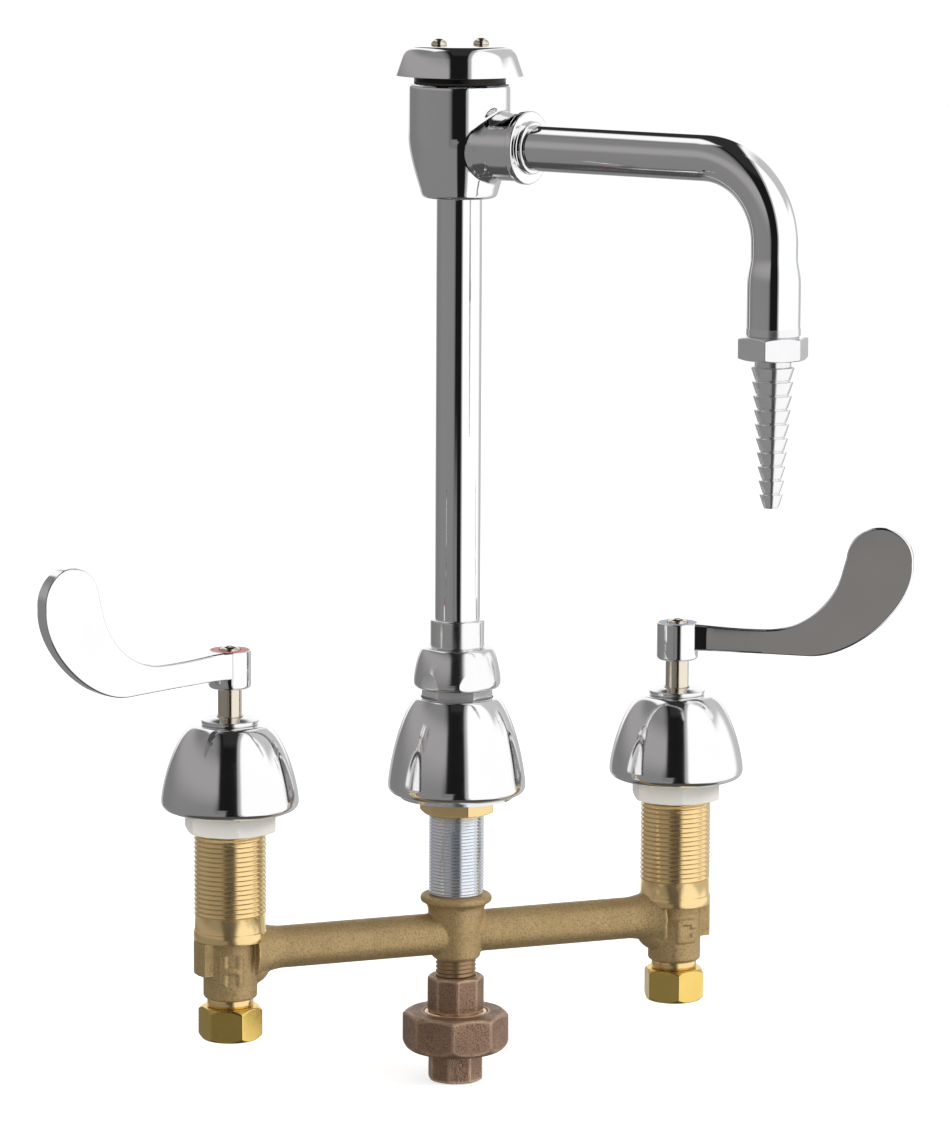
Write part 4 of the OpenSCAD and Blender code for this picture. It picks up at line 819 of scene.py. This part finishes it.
def blade():
    """The arm and blade as one bar, drawn along +X from the hub's axis."""
    tip, bow, heel = (86.3, 96.5), (38, 98.9), (57, 54.4)
    outline = ([(0, 56.1), (0, 67.5), (6, 67.5)] + bezier((8, 67.4), (20, 66.2), (30, 65.7), (36, 65.7), 8)
               + arc(*bow, 33.2, -90, -12, 20) + arc(*tip, 14.3, 176, -6, 26)
               + bezier((100.6, 93.5), (100.6, 76.5), (77, 54.4), heel, 28))
    bm = bmesh.new()
    side = bm.faces.new([bm.verts.new((s * MM, -3 * MM, z * MM)) for s, z in outline])
    other = bmesh.ops.extrude_face_region(bm, geom=[side], use_keep_orig=True)["geom"]
    bmesh.ops.translate(bm, verts=[g for g in other if isinstance(g, bmesh.types.BMVert)], vec=(0, 6 * MM, 0))
    bmesh.ops.recalc_face_normals(bm, faces=bm.faces)
    sharp = [e for e in bm.edges if len(e.link_faces) == 2 and e.calc_face_angle() > 1.2 and abs(e.verts[0].co.y - e.verts[1].co.y) < 1e-6]
    bmesh.ops.bevel(bm, geom=sharp, offset=0.9 * MM, offset_type="OFFSET", segments=4, profile=0.5, affect="EDGES", material=-1)
    plans = [(-1, 8.6), (5.6, 7.0), (7.0, 5.4), (12.8, 4.3), (38, 3), (200, 3)], \
            [(-1, 8.8), (5.6, 7.2), (8.0, 5.9), (12.8, 4.5), (38, 3), (200, 3)]
    for s in (5.6, 7.0, 8.0, 12.8, 13.3, 36, 38):
        bmesh.ops.bisect_plane(bm, geom=bm.verts[:] + bm.edges[:] + bm.faces[:], dist=1e-7, plane_co=(s * MM, 0, 0), plane_no=(1, 0, 0))
    for v in bm.verts:
        reach, plan = v.co.x / MM, plans[v.co.y > 0]
        (s0, w0), (s1, w1) = next(pair for pair in zip(plan, plan[1:]) if reach <= pair[1][0] + 1e-4)
        v.co.y *= (w0 + (w1 - w0) * (reach - s0) / (s1 - s0)) / 3
    return bm


for side, s in (("hot", -1), ("cold", 1)):
    hub = spun([(0, hub_low), (7.6, hub_low)] + arc(7.4, hub_low + 1.5, 1.5, -85, 0, 6) + arc(8.4, 67.0, 0.5, 0, 90, 5) + [(0, 67.5)],
               closed=False)
    lever = combine(as_object(blade(), "lever"), hub, "UNION")
    bored(lever, spun([(0, 50), (4.65, 50), (4.65, 62.9), (2.1, 62.9), (2.1, 68), (0, 68)]),
          spun([(0, 66.7), (8.4, 66.7), (8.4, 69), (0, 69)]), solver="EXACT")
    crease = [e.index for e in lever.data.edges if all(abs(lever.data.vertices[v].co.x - 12.8 * MM) < 1e-5 for v in e.vertices)]
    turn = -29 if s > 0 else 202
    lever.data.transform(Matrix.Translation((s * half * MM, 0, 0)) @ Matrix.Rotation(math.radians(turn), 4, "Z"))
    dressed(lever, side + "_wrist_blade", chrome, side + "_handle")
    for i in crease:
        lever.data.edges[i].use_edge_sharp = True
    flat_faces = lever.modifiers.new("flat faces", "WEIGHTED_NORMAL")
    flat_faces.weight, flat_faces.keep_sharp = 100, True
    screw = spun([(0, 56.7), (2, 56.7), (2, 66.7), (4.2, 66.7)] + bezier((4.3, 67.0), (4.3, 68.3), (3.2, 68.9), (0, 69.0), 12), steps=64,
                 closed=False)
    screw = bored(as_object(screw, "screw"), block(-2.9, 2.9, -0.45, 0.45, 68.1, 70), block(-0.45, 0.45, -2.9, 2.9, 68.1, 70), solver="EXACT")
    screw.data.transform(Matrix.Translation((s * half * MM, 0, 0)) @ Matrix.Rotation(math.radians(30), 4, "Z"))
    dressed(screw, side + "_hub_screw", nickel, side + "_handle_screw", bevel=0.08)
    rim = moved(spun([(4.6, 66.7), (8.3, 66.7)] + arc(8.05, 67.25, 0.25, 0, 90, 4) + arc(4.85, 67.25, 0.25, 90, 180, 4)), x=s * half)
    dressed(rim, side + "_colour_ring", red if s < 0 else blue, side + "_index_ring")
print("handles ready")

# %% [markdown]
# Chrome is only as good as what it mirrors. The studio is a great shell round the faucet:
# grey cloth on the left, one narrow black flag beside the camera that runs up into a dark
# ceiling, a broad white panel on the right, and white paper behind. Only reflections see it,
# so it neither lights the scene nor hides the faucet.

# %% Studio shell that the plating mirrors
toward_camera = Vector((-math.sin(heading), -math.cos(heading), 0))


def grey(v, warm=0.0):
    return (v * (1 + warm), v, v * (1 - warm))


def studio_finish(stops):
    """Glows by the angle round the faucet, with a dark ceiling, white paper behind and a dark floor."""
    finish = bpy.data.materials.new("studio shell")
    finish.use_nodes = True
    tree, links = finish.node_tree.nodes, finish.node_tree.links
    tree.clear()
    place = tree.new("ShaderNodeTexCoord")

    def math_node(how, *values):
        node = tree.new("ShaderNodeMath")
        node.operation = how
        for socket, value in zip(node.inputs, values):
            if isinstance(value, (int, float)):
                socket.default_value = value
            else:
                links.new(value, socket)
        return node.outputs["Value"]

    def part_along(direction):
        dot = tree.new("ShaderNodeVectorMath")
        dot.operation = "DOT_PRODUCT"
        dot.inputs[1].default_value = direction / 5
        links.new(place.outputs["Object"], dot.inputs[0])
        return dot.outputs["Value"]

    def between(value, low, high):
        span = tree.new("ShaderNodeMapRange")
        span.interpolation_type = "SMOOTHSTEP"
        span.inputs["From Min"].default_value = low
        span.inputs["From Max"].default_value = high
        links.new(value, span.inputs["Value"])
        return span.outputs["Result"]

    def over(mask, colour, under):
        mix = tree.new("ShaderNodeMix")
        mix.data_type = "RGBA"
        mix.inputs[7].default_value = (*colour, 1)
        links.new(mask, mix.inputs[0])
        links.new(under, mix.inputs[6])
        return mix.outputs[2]

    across, front, height = part_along(level), part_along(toward_camera), part_along(Vector((0, 0, 1)))
    depth = math_node("SQRT", math_node("ADD", math_node("MULTIPLY", front, front), math_node("MULTIPLY", height, height)))
    turn = math_node("ARCTAN2", across, math_node("MULTIPLY", depth, math_node("SIGN", front)))
    share = math_node("MULTIPLY_ADD", turn, 1 / math.tau, 0.5)
    ramp = tree.new("ShaderNodeValToRGB")
    for angle, colour in stops:
        stop = ramp.color_ramp.elements.new((angle + 180) / 360)
        stop.color = (*colour, 1)
    ramp.color_ramp.elements.remove(ramp.color_ramp.elements[0])
    ramp.color_ramp.elements.remove(ramp.color_ramp.elements[-1])
    links.new(share, ramp.inputs["Fac"])
    aside = math_node("ABSOLUTE", across)
    back = between(front, 0.05, -0.08)

    def both(one, other):
        return math_node("MULTIPLY", one, other)

    patches = [(both(both(between(across, -0.26, -0.36), between(height, 0.0, 0.3)), between(height, 0.70, 0.42)),
                (0.385, 0.37, 0.375)),
               (both(between(across, -0.07, -0.13), between(height, -0.18, -0.30)), grey(0.24, 0.01)),
               (both(both(between(across, -0.07, -0.11), between(across, -0.38, -0.30)),
                     both(between(height, -0.09, -0.13), between(height, -0.30, -0.20))), grey(0.21, 0.05)),
               (both(both(between(across, -0.02, -0.05), between(across, -0.38, -0.30)),
                     both(between(height, -0.143, -0.150), between(height, -0.19, -0.178))), grey(0.21, 0.05)),
               (both(back, both(between(aside, 0.54, 0.44), between(height, -0.45, -0.38))), grey(0.55)),
               (both(back, both(between(aside, 0.54, 0.44), between(height, -0.06, 0.01))), grey(1.1)),
               (both(back, both(between(aside, 0.30, 0.22), between(height, 0.44, 0.54))), grey(0.03)),
               (both(back, both(between(across, 0.3, 0.5), between(height, 0.30, 0.45))), grey(0.6)),
               (both(between(aside, 0.24, 0.17), between(height, 0.74, 0.84)), grey(0.03)),
               (between(height, -0.72, -0.80), grey(0.08))]
    colour = ramp.outputs["Color"]
    for mask, patch in patches:
        colour = over(mask, patch, colour)
    glow = tree.new("ShaderNodeEmission")
    leave = tree.new("ShaderNodeOutputMaterial")
    links.new(colour, glow.inputs["Color"])
    links.new(glow.outputs["Emission"], leave.inputs["Surface"])
    return finish


stops = [(-179, grey(0.22, 0.01)), (-120, grey(0.22, 0.01)), (-95, grey(0.25, 0.01)), (-26, grey(0.24, 0.01)),
         (-20, grey(0.15, 0.01)), (-15.5, grey(0.010)), (13, grey(0.010)), (15.5, grey(0.45)), (18, grey(0.38)),
         (21, grey(1.15)), (122, grey(1.15)), (132, grey(0.6)), (150, grey(0.55)), (179, grey(0.3))]
wall = bmesh.new()
bmesh.ops.create_uvsphere(wall, u_segments=96, v_segments=48, radius=5)
studio = as_object(wall, "studio_shell")
studio.data.materials.append(studio_finish(stops))
studio.visible_camera = studio.visible_diffuse = studio.visible_shadow = studio.visible_transmission = False
print("studio shell stops:", len(stops))

# %% [markdown]
# The floor is pale and keeps the faucet's shadow, and the world behind is white to the
# camera and to reflections. Two large soft lamps give the brass its shape.

# %% Floor, world and lamps
ground = bmesh.new()
bmesh.ops.create_circle(ground, cap_ends=True, segments=64, radius=6)
floor_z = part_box("union_end")[0].z - 0.0005
bmesh.ops.translate(ground, verts=ground.verts, vec=(0, 0, floor_z))
floor = as_object(ground, "floor")
pale = bpy.data.materials.new("pale floor")
pale.use_nodes = True
tree, links = pale.node_tree.nodes, pale.node_tree.links
tree["Principled BSDF"].inputs["Base Color"].default_value = (0.86, 0.86, 0.86, 1)
tree["Principled BSDF"].inputs["Roughness"].default_value = 0.9
tree["Principled BSDF"].inputs["Specular IOR Level"].default_value = 0.0
tree["Principled BSDF"].inputs["Emission Color"].default_value = (1, 1, 1, 1)
path = tree.new("ShaderNodeLightPath")
seen = tree.new("ShaderNodeMath")
seen.operation = "MAXIMUM"
level_up = tree.new("ShaderNodeMath")
level_up.operation = "MULTIPLY"
level_up.inputs[1].default_value = 0.62
links.new(path.outputs["Is Camera Ray"], seen.inputs[0])
links.new(path.outputs["Is Glossy Ray"], seen.inputs[1])
links.new(seen.outputs["Value"], level_up.inputs[0])
links.new(level_up.outputs["Value"], tree["Principled BSDF"].inputs["Emission Strength"])
floor.data.materials.append(pale)
floor.visible_glossy = False

world = bpy.data.worlds.new("studio")
bpy.context.scene.world = world
world.use_nodes = True
tree, links = world.node_tree.nodes, world.node_tree.links
tree["Background"].inputs["Color"].default_value = (1, 1, 1, 1)
path = tree.new("ShaderNodeLightPath")
seen = tree.new("ShaderNodeMath")
seen.operation = "MAXIMUM"
shown = tree.new("ShaderNodeMath")
shown.operation = "MAXIMUM"
strength = tree.new("ShaderNodeMapRange")
strength.inputs["To Min"].default_value = 0.5
strength.inputs["To Max"].default_value = 1.0
links.new(path.outputs["Is Camera Ray"], seen.inputs[0])
links.new(path.outputs["Is Glossy Ray"], seen.inputs[1])
links.new(seen.outputs["Value"], shown.inputs[0])
links.new(path.outputs["Is Transmission Ray"], shown.inputs[1])
links.new(shown.outputs["Value"], strength.inputs["Value"])
links.new(strength.outputs["Result"], tree["Background"].inputs["Strength"])


def lamp(name, place, target, size, power):
    data = bpy.data.lights.new(name, "AREA")
    data.size = size
    data.energy = power
    light = bpy.data.objects.new(name, data)
    aim = (Vector(target) - Vector(place)).normalized()
    light.matrix_world = Matrix.Translation(place) @ aim.to_track_quat("-Z", "Y").to_matrix().to_4x4()
    light.visible_glossy = False
    bpy.context.collection.objects.link(light)


lamp("key", (1.3, -1.3, 1.4), (0, 0, 0.05), 0.9, 26)
lamp("fill", (-1.6, -0.9, 0.9), (0, 0, 0.05), 1.2, 9)
bpy.context.scene.view_settings.view_transform = "Standard"
print("floor at", round(floor_z, 4))
